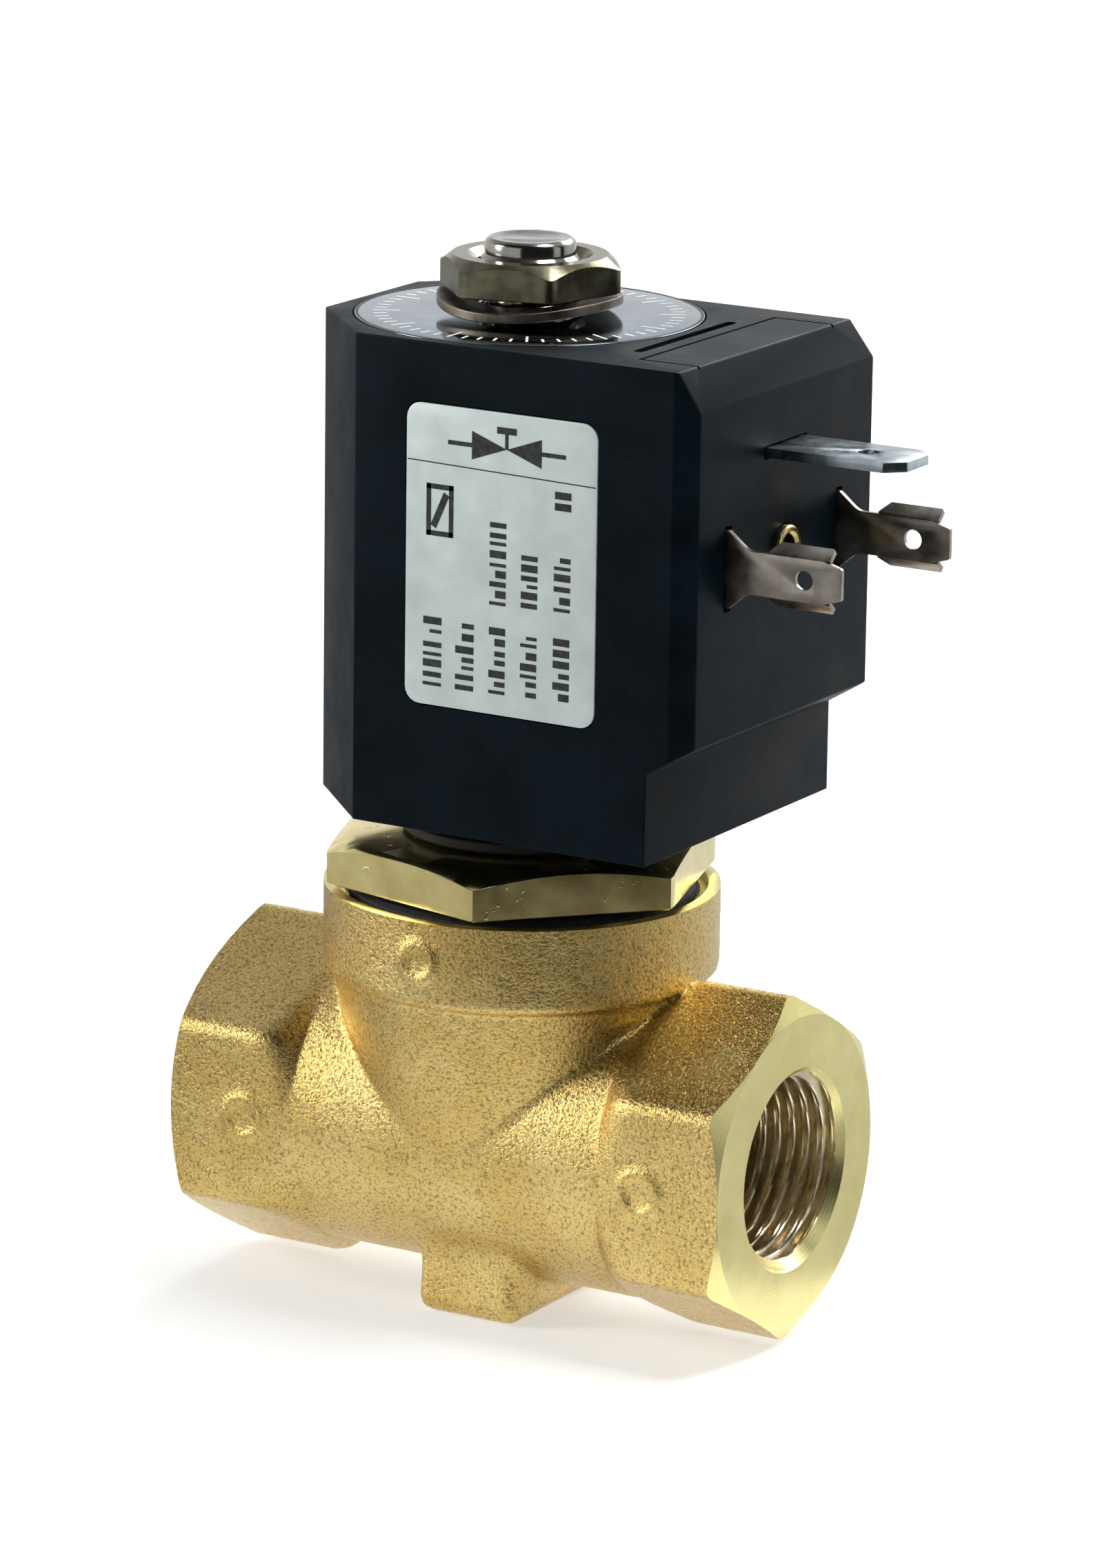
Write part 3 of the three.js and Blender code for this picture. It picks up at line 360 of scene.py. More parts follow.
def turned_brass(look):
    """Free-cutting brass, turned. Fine tool lines round the axis, pale and slightly green."""
    material, tree, shader, place = new_material("turned_port_brass", Metallic=1.0)
    vector, number = "ShaderNodeVectorMath", "ShaderNodeMath"
    axis = (0, 0, FLOW_AXIS * MM)
    from_axis = add_node(tree, vector, {0: place, 1: axis}, operation="SUBTRACT").outputs[0]
    flat = add_node(tree, vector, {0: from_axis, 1: (0, 1, 1)}, operation="MULTIPLY").outputs[0]
    radius = add_node(tree, vector, {0: flat}, operation="LENGTH").outputs["Value"]
    feed = 0.22  # a turning feed of 0.1 mm, drawn coarser so that it shows
    lines = add_node(tree, number, {0: radius, 1: TURN / (feed * MM)}, operation="MULTIPLY").outputs[0]
    wave = add_node(tree, number, {0: lines}, operation="SINE").outputs[0]
    stains = noise_of(tree, place, 4.0, 4.0)
    toned = mixed(tree, spread(tree, stains, 0.35, 0.7), look.turned_deep, look.turned_colour)
    tree.links.new(toned, shader.inputs["Base Color"])
    tree.links.new(spread(tree, stains, 0.3, 0.7, 0.24, 0.34), shader.inputs["Roughness"])
    tree.links.new(bumped(tree, wave, 0.0016, 0.8), shader.inputs["Normal"])
    return material


def tapped_brass(look):
    """Brass thread, cut with a tap. Torn flanks and oil stains along the grooves make it uneven."""
    material, tree, shader, place = new_material("tapped_thread_brass", Metallic=1.0)
    stretched = add_node(tree, "ShaderNodeMapping", {"Vector": place, "Scale": (1, 0.4, 0.4)}).outputs[0]
    stains = noise_of(tree, stretched, 1.4, 3.0)
    torn = noise_of(tree, place, 0.25, 3.0)
    toned = mixed(tree, spread(tree, stains, 0.35, 0.68), look.thread_deep, look.thread_colour)
    tree.links.new(toned, shader.inputs["Base Color"])
    tree.links.new(spread(tree, stains, 0.3, 0.7, 0.2, 0.32), shader.inputs["Roughness"])
    tree.links.new(bumped(tree, torn, 0.012, 0.7), shader.inputs["Normal"])
    return material


def drawn_brass(look):
    """Drawn hexagon brass, milled bright. Clear reflections with a few nicks from handling."""
    material, tree, shader, place = new_material("drawn_hexagon_brass", Metallic=1.0)
    stretched = add_node(tree, "ShaderNodeMapping", {"Vector": place, "Scale": (1, 1, 0.12)}).outputs[0]
    drawing = noise_of(tree, stretched, 0.25, 2.0)  # drawing lines along the bar
    nicks = noise_of(tree, place, 0.9, 2.0, 0.7)
    stains = noise_of(tree, place, 3.5, 3.0)
    toned = mixed(tree, spread(tree, stains, 0.35, 0.7), look.bonnet_deep, look.bonnet_colour)
    tree.links.new(toned, shader.inputs["Base Color"])
    tree.links.new(spread(tree, stains, 0.3, 0.7, 0.13, 0.22), shader.inputs["Roughness"])
    lines = bumped(tree, drawing, 0.004, 0.6)
    dents = bumped(tree, spread(tree, nicks, 0.68, 0.74), 0.03, 0.8, lines)
    tree.links.new(dents, shader.inputs["Normal"])
    return material


def glass_filled_polyamide(look):
    """Black glass-filled polyamide, moulded. Satin, with fibres just under the skin and faint flow marks."""
    material, tree, shader, place = new_material("moulded_black_polyamide", IOR=1.53, Specular_IOR_Level=0.07)
    fibres = noise_of(tree, place, 0.35, 3.0, 0.65)
    flow = noise_of(tree, place, 6.0, 4.0, 0.6)
    scuffs = noise_of(tree, place, 1.4, 5.0, 0.75)
    toned = mixed(tree, spread(tree, flow, 0.35, 0.7), look.coil_deep, look.coil_colour)
    dusty = mixed(tree, spread(tree, scuffs, 0.62, 0.85, 0.0, 0.35), toned, look.coil_dust)
    tree.links.new(dusty, shader.inputs["Base Color"])
    tree.links.new(spread(tree, flow, 0.3, 0.75, 0.36, 0.52), shader.inputs["Roughness"])
    tree.links.new(bumped(tree, fibres, 0.02, 0.5), shader.inputs["Normal"])
    return material


def polished_metal(name, bright, deep, rough, grain=0.4, depth=0.004):
    """A plated, drawn or turned metal. Soft stains in colour and gloss; grain and depth in millimetres."""
    material, tree, shader, place = new_material(name, Metallic=1.0)
    stains = noise_of(tree, place, 2.0, 3.0)
    fine = noise_of(tree, place, grain, 3.0)
    toned = mixed(tree, spread(tree, stains, 0.35, 0.7), linear(deep), linear(bright))
    tree.links.new(toned, shader.inputs["Base Color"])
    tree.links.new(spread(tree, stains, 0.3, 0.7, rough * 0.85, rough * 1.25), shader.inputs["Roughness"])
    tree.links.new(bumped(tree, fine, depth, 0.6), shader.inputs["Normal"])
    return material


def silvered_film(look):
    """Polyester film, silvered behind and matt in front. Soft grey sheen with a faint grain."""
    material, tree, shader, place = new_material("silvered_label_film", Metallic=0.35, IOR=1.6)
    clouds = noise_of(tree, place, 3.0, 4.0)
    grain = noise_of(tree, place, 0.15, 2.0)
    tree.links.new(mixed(tree, spread(tree, clouds, 0.3, 0.7), look.film_deep, look.film_colour),
                   shader.inputs["Base Color"])
    tree.links.new(spread(tree, clouds, 0.3, 0.7, 0.36, 0.46), shader.inputs["Roughness"])
    tree.links.new(bumped(tree, grain, 0.006, 0.4), shader.inputs["Normal"])
    return material


def printed_ink(look):
    """Black printing ink, slightly uneven where it laid down thin."""
    material, tree, shader, place = new_material("black_printing_ink", Roughness=0.5)
    cover = noise_of(tree, place, 0.5, 3.0)
    tree.links.new(mixed(tree, spread(tree, cover, 0.4, 0.75, 0.0, 0.5), look.ink, linear("#3a4044")),
                   shader.inputs["Base Color"])
    return material


def white_ink():
    """White printing ink, matt, with a faint mottle."""
    return plain_polymer("white_printing_ink", "#e9eced", "#d5dadb", 0.5)


def plain_polymer(name, first, second, rough, size=1.5, depth=0.01):
    """A moulded or sintered plastic or rubber with a soft mottle. Size is the mottle in millimetres."""
    material, tree, shader, place = new_material(name, IOR=1.5)
    mottle = noise_of(tree, place, size, 4.0)
    tree.links.new(mixed(tree, spread(tree, mottle, 0.3, 0.7), linear(second), linear(first)),
                   shader.inputs["Base Color"])
    tree.links.new(spread(tree, mottle, 0.3, 0.7, rough, min(1.0, rough * 1.2)), shader.inputs["Roughness"])
    tree.links.new(bumped(tree, noise_of(tree, place, size / 6), depth, 0.5), shader.inputs["Normal"])
    return material


# Properties


class ForgingSettings(bpy.types.PropertyGroup):
    """Sizes and colours of the forged body."""

    grid: length("Grid", "Spacing of the grid that the forging is shaped on", 0.3)
    port_flats: length("Port flats", "Width of the port hexagons across flats", 25.6)
    port_length: length("Port length", "Length of each port hexagon", 10.6)
    edge_radius: length("Forged edge", "Radius of the forged edges of the hexagons", 1.5)
    shoulder: length("Shoulder", "Length of the slope from the barrel to a hexagon", 2.0)
    shoulder_blend: length("Shoulder blend", "Width over which the slope turns into the flats", 1.2)
    throat_blend: length("Throat blend", "Width of the blend where the bowl meets the barrel", 0.3)
    barrel: length("Barrel", "Diameter of the barrel between the ports", 25.2)
    collar: length("Collar", "Diameter of the collar", 32.6)
    collar_height: length("Collar height", "Height of the collar", 7.1)
    pin_mark: length("Pin mark", "Diameter of the ring marks that the die's pins left", 3.3)
    grain_depth: length("Grain depth", "Depth of the blasted grain in the surface itself", 0.012)
    seed: IntProperty(name="Grain seed", description="Start of the random draw for the grain", default=7)


class LookSettings(bpy.types.PropertyGroup):
    """Colours of the visible materials."""

    forged_colour: colour("Forged brass", "Main colour of the forging", "#e3c984")
    forged_deep: colour("Forged brass, deep", "Deeper patches of the forging", "#d6b86e")
    forged_pit: colour("Forged brass, pits", "Scale left in the dimples", "#8a744a")
    turned_colour: colour("Turned brass", "Port faces", "#e8dd9c")
    turned_deep: colour("Turned brass, deep", "Stains on the turned faces", "#dacf8c")
    thread_colour: colour("Thread brass", "Flanks of the port threads", "#f0e6cc")
    thread_deep: colour("Thread brass, deep", "Stains in the port threads", "#d4c4a0")
    bonnet_colour: colour("Bonnet brass", "Drawn hexagon", "#f6e6a2")
    bonnet_deep: colour("Bonnet brass, deep", "Stains on the drawn hexagon", "#e2ce88")
    coil_colour: colour("Coil plastic", "Main colour of the moulding", "#03111a")
    coil_deep: colour("Coil plastic, deep", "Darker flow marks", "#02090d")
    coil_dust: colour("Coil plastic, dust", "Scuffs and dust on the moulding", "#16242b")
    film_colour: colour("Label film", "Silvered film", "#bfcac6")
    film_deep: colour("Label film, deep", "Cloudy parts of the film", "#b0bbb7")
    ink: colour("Ink", "Printing on the labels", "#0b0d0f")


# Body

STOCK = 1.0  # left past the forging's faces, for the lathe to take off


def hexagon_field(across, up, flats):
    """Distance from a hexagon whose corners point up and down."""
    half = flats / 2
    first, second = np.abs(up), np.abs(across)
    fold = 2 * np.minimum(-math.sqrt(3) / 2 * first + second / 2, 0)
    first = first + fold * math.sqrt(3) / 2
    second = second - fold / 2
    reach = half / math.sqrt(3)
    first = first - np.clip(first, -reach, reach)
    second = second - half
    return np.hypot(first, second) * np.sign(second)


def rounded_join(sideways, lengthways, radius):
    """Distance from what is inside both, with a rounded edge. Both are measured from the radius's middle."""
    outside = np.hypot(np.maximum(sideways, 0), np.maximum(lengthways, 0))
    return outside + np.minimum(np.maximum(sideways, lengthways), 0) - radius


def smooth_union(first, second, width):
    """Distance from two solids that blend into each other over a width."""
    share = np.clip(0.5 + 0.5 * (second - first) / width, 0, 1)
    return second * (1 - share) + first * share - width * share * (1 - share)


def arms_field(sizes, x, y, z):
    """Distance from the barrel and the port hexagons, with a coned shoulder at each hexagon's inner end."""
    edge = sizes.edge_radius / MM
    inner_end = FACE - sizes.port_length / MM
    barrel_radius = sizes.barrel / MM / 2
    overlap = 1.5  # how far the barrel runs into a hexagon
    along, out = np.abs(x), np.hypot(y, z)
    barrel = np.maximum(out - barrel_radius, along - (inner_end + overlap))
    hexagon = hexagon_field(y, z, sizes.port_flats / MM - 2 * edge) - edge
    shoulder = (out - barrel_radius - along + inner_end - sizes.shoulder / MM / 2) / math.sqrt(2)
    ports = -smooth_union(-hexagon, -shoulder, sizes.shoulder_blend / MM)
    return np.minimum(barrel, np.maximum(ports, along - (FACE + STOCK)))


def neck_field(sizes, x, y, z):
    """Distance from the collar and the tapered bowl under it."""
    collar_radius = sizes.collar / MM / 2
    collar_top = BODY_HIGH.z - FLOW_AXIS
    collar_low = collar_top - sizes.collar_height / MM
    edge, step, step_blend = 0.6, 0.7, 0.5
    out = np.hypot(x, y)
    collar_side = out - (collar_radius - edge)
    collar_ends = np.maximum(collar_low + edge - z, z - (collar_top + STOCK - edge))
    collar = rounded_join(collar_side, collar_ends, edge)
    bowl_radius, bowl_foot, overlap = 12.6, -2, 1
    taper = (collar_radius - step - bowl_radius) / collar_low
    bowl_side = (out - bowl_radius - taper * z) / math.hypot(1, taper)
    bowl = np.maximum(bowl_side, np.maximum(z - collar_low - overlap, bowl_foot - z))
    return smooth_union(collar, bowl, step_blend)


def foot_field(x, y, z):
    """Distance from the foot, a block with rounded edges that tapers by the die's draft."""
    edge, draft = 1.3, 0.03
    offset, half_length, half_width, root = 0.3, 4.8, 9.0, 4
    side_x = np.abs(x - offset) - (half_length - edge) + draft * (z + FLOW_AXIS)
    side_y = np.abs(y) - (half_width - edge) + draft * (z + FLOW_AXIS)
    ends = np.maximum(-FLOW_AXIS + edge - z, z + root)
    return rounded_join(rounded_join(side_x, side_y, 0), ends, edge)


def forging_field(sizes, x, y, z):
    """Distance from the forging's surface, in millimetres. The flow axis is z = 0."""
    arms, neck = arms_field(sizes, x, y, z), neck_field(sizes, x, y, z)
    foot_blend = 1.1
    return smooth_union(smooth_union(arms, neck, sizes.throat_blend / MM), foot_field(x, y, z), foot_blend)


def pin_marks(sizes, x, y, z):
    """Height of the raised rings that the die's pins left, in millimetres."""
    ring = sizes.pin_mark / MM / 2
    raised, ridge, marked_depth = 0.3, 0.4, 9
    front = np.clip(-y - marked_depth, 0, 1)
    height = np.zeros_like(x)
    for mark_x, mark_z, size in ((-18.95, 0.1, 1.0), (18.8, 0.1, 1.0), (0.0, 17.2, 0.88)):
        away = np.hypot(x - mark_x, z - mark_z) - ring * size
        height += raised * np.exp(-(away / ridge) ** 2)
    return height * front


def forged_blank(sizes):
    """The forging as it leaves the blasting, before any machining."""
    coarser = 1.0
    spacing = sizes.grid / MM * coarser
    low = np.array([BODY_LOW.x - 2.5, BODY_LOW.y - 2.0, BODY_LOW.z - FLOW_AXIS - 1.5])
    high = np.array([BODY_HIGH.x + 2.5, BODY_HIGH.y + 2.0, BODY_HIGH.z - FLOW_AXIS + 2.5])
    counts = np.ceil((high - low) / spacing).astype(int)
    axes = [(low[i] + spacing * np.arange(counts[i])).astype(np.float32) for i in range(3)]
    x, y, z = np.meshgrid(*axes, indexing="ij")
    field = forging_field(sizes, x, y, z) - pin_marks(sizes, x, y, z)
    grain = np.random.default_rng(sizes.seed).standard_normal(field.shape).astype(np.float32)
    for axis in range(3):
        grain = (grain + np.roll(grain, 1, axis)) / math.sqrt(2)
    field = field + grain * (sizes.grain_depth / MM)
    reach = 4 * spacing
    grid = openvdb.FloatGrid(reach)
    grid.copyFromArray(np.clip(field, -reach, reach).astype(np.float64))
    points, quads = grid.convertToQuads(isovalue=0.0)
    points = np.asarray(points) * spacing + low + (0, 0, FLOW_AXIS)
    return points, [tuple(int(v) for v in quad) for quad in quads]


def facing_envelope(sizes):
    """What the lathe leaves of the ports: flat faces, with the hexagons' corners turned to a cone."""
    flats = sizes.port_flats / MM / 2
    reach, wide, corner_depth = flats + 4.2, 60.0, 1.0
    corner_drop = corner_depth / (flats * (2 / math.sqrt(3) - 1))  # along the axis for each mm of radius
    shoulder = FACE - (reach - flats) * corner_drop
    half = [(0, FACE), (flats, FACE), (reach, shoulder), (wide, shoulder)]
    profile = [(radius, -level) for radius, level in half] + half[::-1]
    axis = Matrix.Translation((0, 0, FLOW_AXIS)) @ TO_X
    return moved(lathe(profile, 144, wrap=False), axis)


def port_cutter(passage_start):
    """Everything cut from the outlet side: passage, drill point, G 3/8 thread and coned mouth."""
    minor, major = 14.95 / 2, 16.66 / 2
    pitch, depth = 1.337, 11.4
    passage, drill_point, mouth_depth, mouth = 4.5, 2.0, 0.9, 16.96 / 2
    runout_turns, start, past = 1.5, 0.05, 1
    bottom = FACE - depth
    around = 144
    angles = np.arange(around) * TURN / around
    rings = [(passage_start, passage), (bottom - drill_point, passage), (bottom, minor)]
    made = [ring_of(radius, level, angles) for level, radius in rings]
    samples = 14
    count = int((depth - start) / pitch * samples)
    for level in np.linspace(bottom + start, FACE, count):
        runout = np.clip((level - bottom) / (runout_turns * pitch), 0, 1)
        groove = thread_profile(level / pitch - angles / TURN) * (major - minor) * runout
        cone = mouth - (FACE - level) * (mouth - minor) / mouth_depth
        made.append(ring_of(np.maximum(minor + groove, cone), level, angles))
    made.append(ring_of(mouth, FACE + past, angles))
    # A turn keeps the thread's hand, so it is right-handed at both ports.
    return moved(skin(made, wrap=False), Matrix.Translation((0, 0, FLOW_AXIS)) @ TO_X)


def bonnet_bore():
    """The stepped bore under the bonnet: seat, chamber, seal groove and the recess in the collar's rim."""
    top = BODY_HIGH.z
    seat, seat_wall, chamber, bore, groove, recess = 5.0, 6.9, 11.9, 13.0, 14.6, 15.2
    floor, seat_top, ledge = FLOW_AXIS + 6.5, FLOW_AXIS + 9.0, BONNET_LOW.z - 0.3
    groove_low, groove_high, chamfer, past = top - 1.5, top - 0.6, 0.1, 10
    inside = [(0, FLOW_AXIS), (seat, FLOW_AXIS), (seat, seat_top), (seat_wall, seat_top), (seat_wall, floor),
              (chamber, floor), (chamber, ledge), (bore, ledge), (bore, groove_low), (groove, groove_low),
              (groove, groove_high), (recess, groove_high), (recess + chamfer, top)]
    above = [(3 * past, top), (3 * past, top + past), (0, top + past)]
    return lathe(inside + above, 128, wrap=False)


def mark_threads(body):
    """Gives the threads and the passages behind them the tapped finish."""
    mouth_depth, reach = 0.75, 16.8 / 2
    for face in body.data.polygons:
        middle = face.center / MM
        radius = math.hypot(middle.y, middle.z - FLOW_AXIS)
        if face.material_index == 1 and radius < reach and abs(middle.x) < FACE - mouth_depth:
            face.material_index = 2


def mark_turned_edges(body, angle=14):
    """Keeps the edges crisp where a turned face ends or turns a corner."""
    work = bmesh.new()
    work.from_mesh(body.data)
    for edge in work.edges:
        if len(edge.link_faces) == 2:
            kinds = [face.material_index for face in edge.link_faces]
            turned = min(kinds) > 0 and edge.calc_face_angle() > math.radians(angle)
            if turned or kinds[0] != kinds[1]:
                edge.smooth = False
    work.to_mesh(body.data)
    work.free()


def build_body(sizes, look):
    """The forging with everything that is turned, drilled and tapped in it."""
    outlet_end, inlet_end = -2.5, 7.2  # inner ends of the passages
    riser, riser_top, riser_x = 2.2, FLOW_AXIS + 7.5, -9.4  # from the inlet up into the chamber
    materials = [forged_brass(look), turned_brass(look), tapped_brass(look)]
    body = mesh_object("forged_body", forged_blank(sizes), materials)
    combine(body, facing_envelope(sizes), "INTERSECT", 1)
    combine(body, port_cutter(outlet_end), "DIFFERENCE", 1)
    combine(body, moved(port_cutter(inlet_end), HALF_TURN), "DIFFERENCE", 1)
    combine(body, bonnet_bore(), "DIFFERENCE", 1)
    drill = cylinder(riser, FLOW_AXIS, riser_top, 48)
    combine(body, moved(drill, Matrix.Translation((riser_x, 0, 0))), "DIFFERENCE", 1)
    mark_threads(body)
    finish_piece(body, "valve", ["valve_body"], sharp=45)
    mark_turned_edges(body)


class VALVE_OT_forged_body(bpy.types.Operator):
    """Builds the forged body with its threaded ports"""

    bl_idname = "valve.forged_body"
    bl_label = "Forged body"

    def execute(self, context):
        build_body(context.scene.valve_forging, context.scene.valve_look)
        return {"FINISHED"}


# Bonnet


def hexagon_rings(flats, low, high, corner_drop, turn, around=192, edge=0.12):
    """Rings from a hexagon's lower face, up its sides and over the coned corners to its upper face."""
    angles = turn + np.arange(around) * TURN / around
    side = hexagon_radius(angles, flats, turn)
    corner = flats / math.sqrt(3)
    side = np.minimum(side, corner - edge)
    slope = corner_drop / (corner - flats / 2)
    rim = 0.35
    flat_radius = flats / 2 - rim
    cone = high - (side - flat_radius) * slope
    rings = [ring_of(side - edge, low, angles), ring_of(side, low + edge, angles),
             ring_of(side, cone - edge / 2, angles), ring_of(side - edge / 2, cone, angles),
             ring_of(flat_radius, high, angles)]
    return angles, rings


def build_bonnet(look):
    """The bonnet: a hexagon over a skirt, with the seat for the tube and the piston's bore inside."""
    flats, hex_height, corner_drop, turn = 28.9, 3.7, 0.9, math.radians(17.2 - 90)
    low, high = BONNET_LOW.z, BONNET_HIGH.z
    angles, rings = hexagon_rings(flats, high - hex_height, high, corner_drop, turn)
    hole, seat, bore, skirt = 5.8, 7.8, 11.0, 12.7
    ceiling, seat_top, chamfer = high - 4.9, high - 2.9, 0.3
    inner = [(hole + chamfer, high), (hole, high - chamfer), (hole, seat_top), (seat, seat_top),
             (seat, ceiling), (bore, ceiling), (bore, low + chamfer), (bore + chamfer, low),
             (skirt - chamfer, low), (skirt, low + chamfer), (skirt, high - hex_height)]
    rings += [ring_of(radius, level, angles) for radius, level in inner]
    made = mesh_object("bonnet_nut", skin(rings, wrap=True), [drawn_brass(look)])
    finish_piece(made, "valve", ["bonnet"], sharp=24)


class VALVE_OT_bonnet(bpy.types.Operator):
    """Builds the hexagonal bonnet"""

    bl_idname = "valve.bonnet"
    bl_label = "Bonnet"

    def execute(self, context):
        build_bonnet(context.scene.valve_look)
        return {"FINISHED"}


# Coil


def rounded_ring(inner, outer, low, high, edge):
    """A closed ring profile with rounded edges."""
    corners = [(inner, low, edge), (outer, low, edge), (outer, high, edge), (inner, high, edge)]
    return filleted(corners)


def coil_outline(front):
    """The coil seen from above: two cut corners at the back, and the given points in front."""
    side, back, cut = COIL_SIDE, COIL_LOW.x, 8.0
    return [(back, side - cut), (back, -side + cut), (back + cut, -side), *front, (back + cut, side)]


def line_tab_level():
    """Height of the line tabs' middle."""
    return (TAB_LOW.z + TAB_HIGH.z) / 2


def earth_tab_level():
    """Height of the earth tab's middle."""
    return (EARTH_LOW.z + EARTH_HIGH.z) / 2


def label_outline(grow):
    """The side label's outline as (x, z) points, grown all round."""
    x0, x1 = LABEL_LOW.x - grow, LABEL_HIGH.x + grow
    z0, z1 = LABEL_LOW.z - grow, LABEL_HIGH.z + grow
    radius = 1.3 + grow
    return filleted([(x0, z0, radius), (x1, z0, radius), (x1, z1, radius), (x0, z1, radius)])


def upright_plate(outline, y0, y1):
    """An outline of (x, z) points pushed from y0 to y1."""
    return moved(prism(outline, -y1, -y0), UPRIGHT)


def bevel_outline(side, high, across, down, past):
    """The corner that a bevel takes off the edge at (side, high), out to past the surface."""
    return [(side - across, high), (side, high - down), (side + past, high - down),
            (side + past, high + past), (side - across, high + past)]


def build_coil_case(look):
    """The coil's moulding: plain below, a terminal block above, bevelled edges and the boss underneath."""
    side, front = COIL_SIDE, COIL_HIGH.x
    boss_height, boss, block_height, setback = 1.45, 20.5, 7.5, 3.65
    low, high = COIL_LOW.z + boss_height, COIL_HIGH.z
    block_top, block_front = low + block_height, front - setback
    overlap, past = 1, 2.0
    lower = prism(coil_outline([(block_front, -side), (block_front, side)]), low, block_top + overlap)
    case = mesh_object("coil_case", lower, [glass_filled_polyamide(look)])
    near_cut, near_back, far_cut = 1.3, 1.65, 0.7
    near_edge = [(front - near_back, -side), (front, -side + near_cut)]
    far_edge = [(front, side - far_cut), (front - far_cut, side)]
    upper = prism(coil_outline(near_edge + far_edge), block_top, high)
    combine(case, upper, "UNION", solver="EXACT")
    rise = 2.2 * 1.548  # of the slanted underside, carried on past the front
    under = [(block_front, block_top - past), (front + past, block_top - past),
             (front + past, block_top + rise), (block_front, block_top)]
    front_bevel = bevel_outline(front, high, 1.4, 3.3, past)
    for outline in (under, front_bevel):
        cutter = upright_plate(outline, -side - past, side + past)
        combine(case, cutter, "DIFFERENCE", solver="EXACT")
    side_bevel = bevel_outline(side, high, 2.2, 4.3, past)
    along_x = Matrix.Rotation(math.pi / 2, 4, "Z")
    combine(case, moved(upright_plate(side_bevel, -40, 40), along_x), "DIFFERENCE", solver="EXACT")
    clean_flats(case)
    soften(case, 0.55, 4, 15)
    chamfer = 0.3
    boss_profile = [(0, COIL_LOW.z), (boss / 2 - chamfer, COIL_LOW.z), (boss / 2, COIL_LOW.z + chamfer),
                    (boss / 2, low + overlap), (0, low + overlap)]
    combine(case, lathe(boss_profile, 96, wrap=False), "UNION")
    for cutter in coil_cutters(high, front):
        combine(case, cutter, "DIFFERENCE")
    finish_piece(case, "coil", ["coil_housing"])


def clean_flats(made):
    """Merges coplanar faces, so that only real edges are left."""
    work = bmesh.new()
    work.from_mesh(made.data)
    bmesh.ops.remove_doubles(work, verts=work.verts, dist=0.01 * MM)
    bmesh.ops.dissolve_limit(work, angle_limit=math.radians(1), verts=work.verts, edges=work.edges)
    work.to_mesh(made.data)
    work.free()


def coil_cutters(high, front):
    """The tube's hole, the room inside, the labels' recesses, the slots and the lines in the top."""
    hole, recess, gap, past = 5.8, 0.5, 0.3, 1
    yoke_low, yoke_high = cad_box("yoke_plate")[0], cad_box("yoke")[1]
    bobbin_low, bobbin_high = cad_box("bobbin")
    cutters = [
        cylinder(hole, COIL_LOW.z - past, high + past),
        box_solid(yoke_low - Vector((gap,) * 3), yoke_high + Vector((gap,) * 3)),
        cylinder(bobbin_high.x + gap, bobbin_low.z - gap, bobbin_high.z + gap),
        upright_plate(label_outline(0.12), -COIL_SIDE - past, -COIL_SIDE + recess),
        cylinder(DISC_HIGH.x + 0.15, high - recess, high + past, 128),
    ]
    half_width, half_sheet, depth = 3.45, 0.55, 3.3
    level = line_tab_level()
    for y in (-9.0, 9.0):
        cutters.append(box_solid((front - depth, y - half_sheet, level - half_width),
                                 (front + past, y + half_sheet, level + half_width)))
    level = earth_tab_level()
    cutters.append(box_solid((front - depth, -half_width, level - half_sheet),
                             (front + past, half_width, level + half_sheet)))
    insert, insert_depth = 2.1, 4.8
    drill = cylinder(insert, front - insert_depth, front + past, 48)
    cutters.append(moved(drill, Matrix.Translation((0, 0, line_tab_level())) @ TO_X))
    slot_back, slot_front, slot_near, slot_far, corner, slot_depth = 14.9, 15.8, -9.3, 6.1, 0.45, 0.7
    slot = filleted([(slot_back, slot_near, corner), (slot_front, slot_near, corner),
                     (slot_front, slot_far, corner), (slot_back, slot_far, corner)])
    cutters.append(prism(slot, high - slot_depth, high + past))
    # Three grooves frame a panel between the slot and the front.
    back, ahead, near, far, line, floor = 17.0, front - 1.2, -11.9, 9.6, 0.3, high - 0.22
    for x0, y0, x1, y1 in ((back, near, back + line, far), (back, far, ahead, far + line),
                           (back, near, ahead, near + line)):
        cutters.append(box_solid((x0, y0, floor), (x1, y1, high + past)))
    return cutters


class VALVE_OT_coil_case(bpy.types.Operator):
    """Builds the coil's black moulding"""

    bl_idname = "valve.coil_case"
    bl_label = "Coil case"

    def execute(self, context):
        build_coil_case(context.scene.valve_look)
        return {"FINISHED"}


# Labels


def joined(solids):
    """Several solids as one, side by side."""
    points, faces, start = [], [], 0
    for some_points, some_faces in solids:
        points.append(np.asarray(some_points))
        faces += [tuple(v + start for v in face) for face in some_faces]
        start += len(some_points)
    return np.concatenate(points), faces


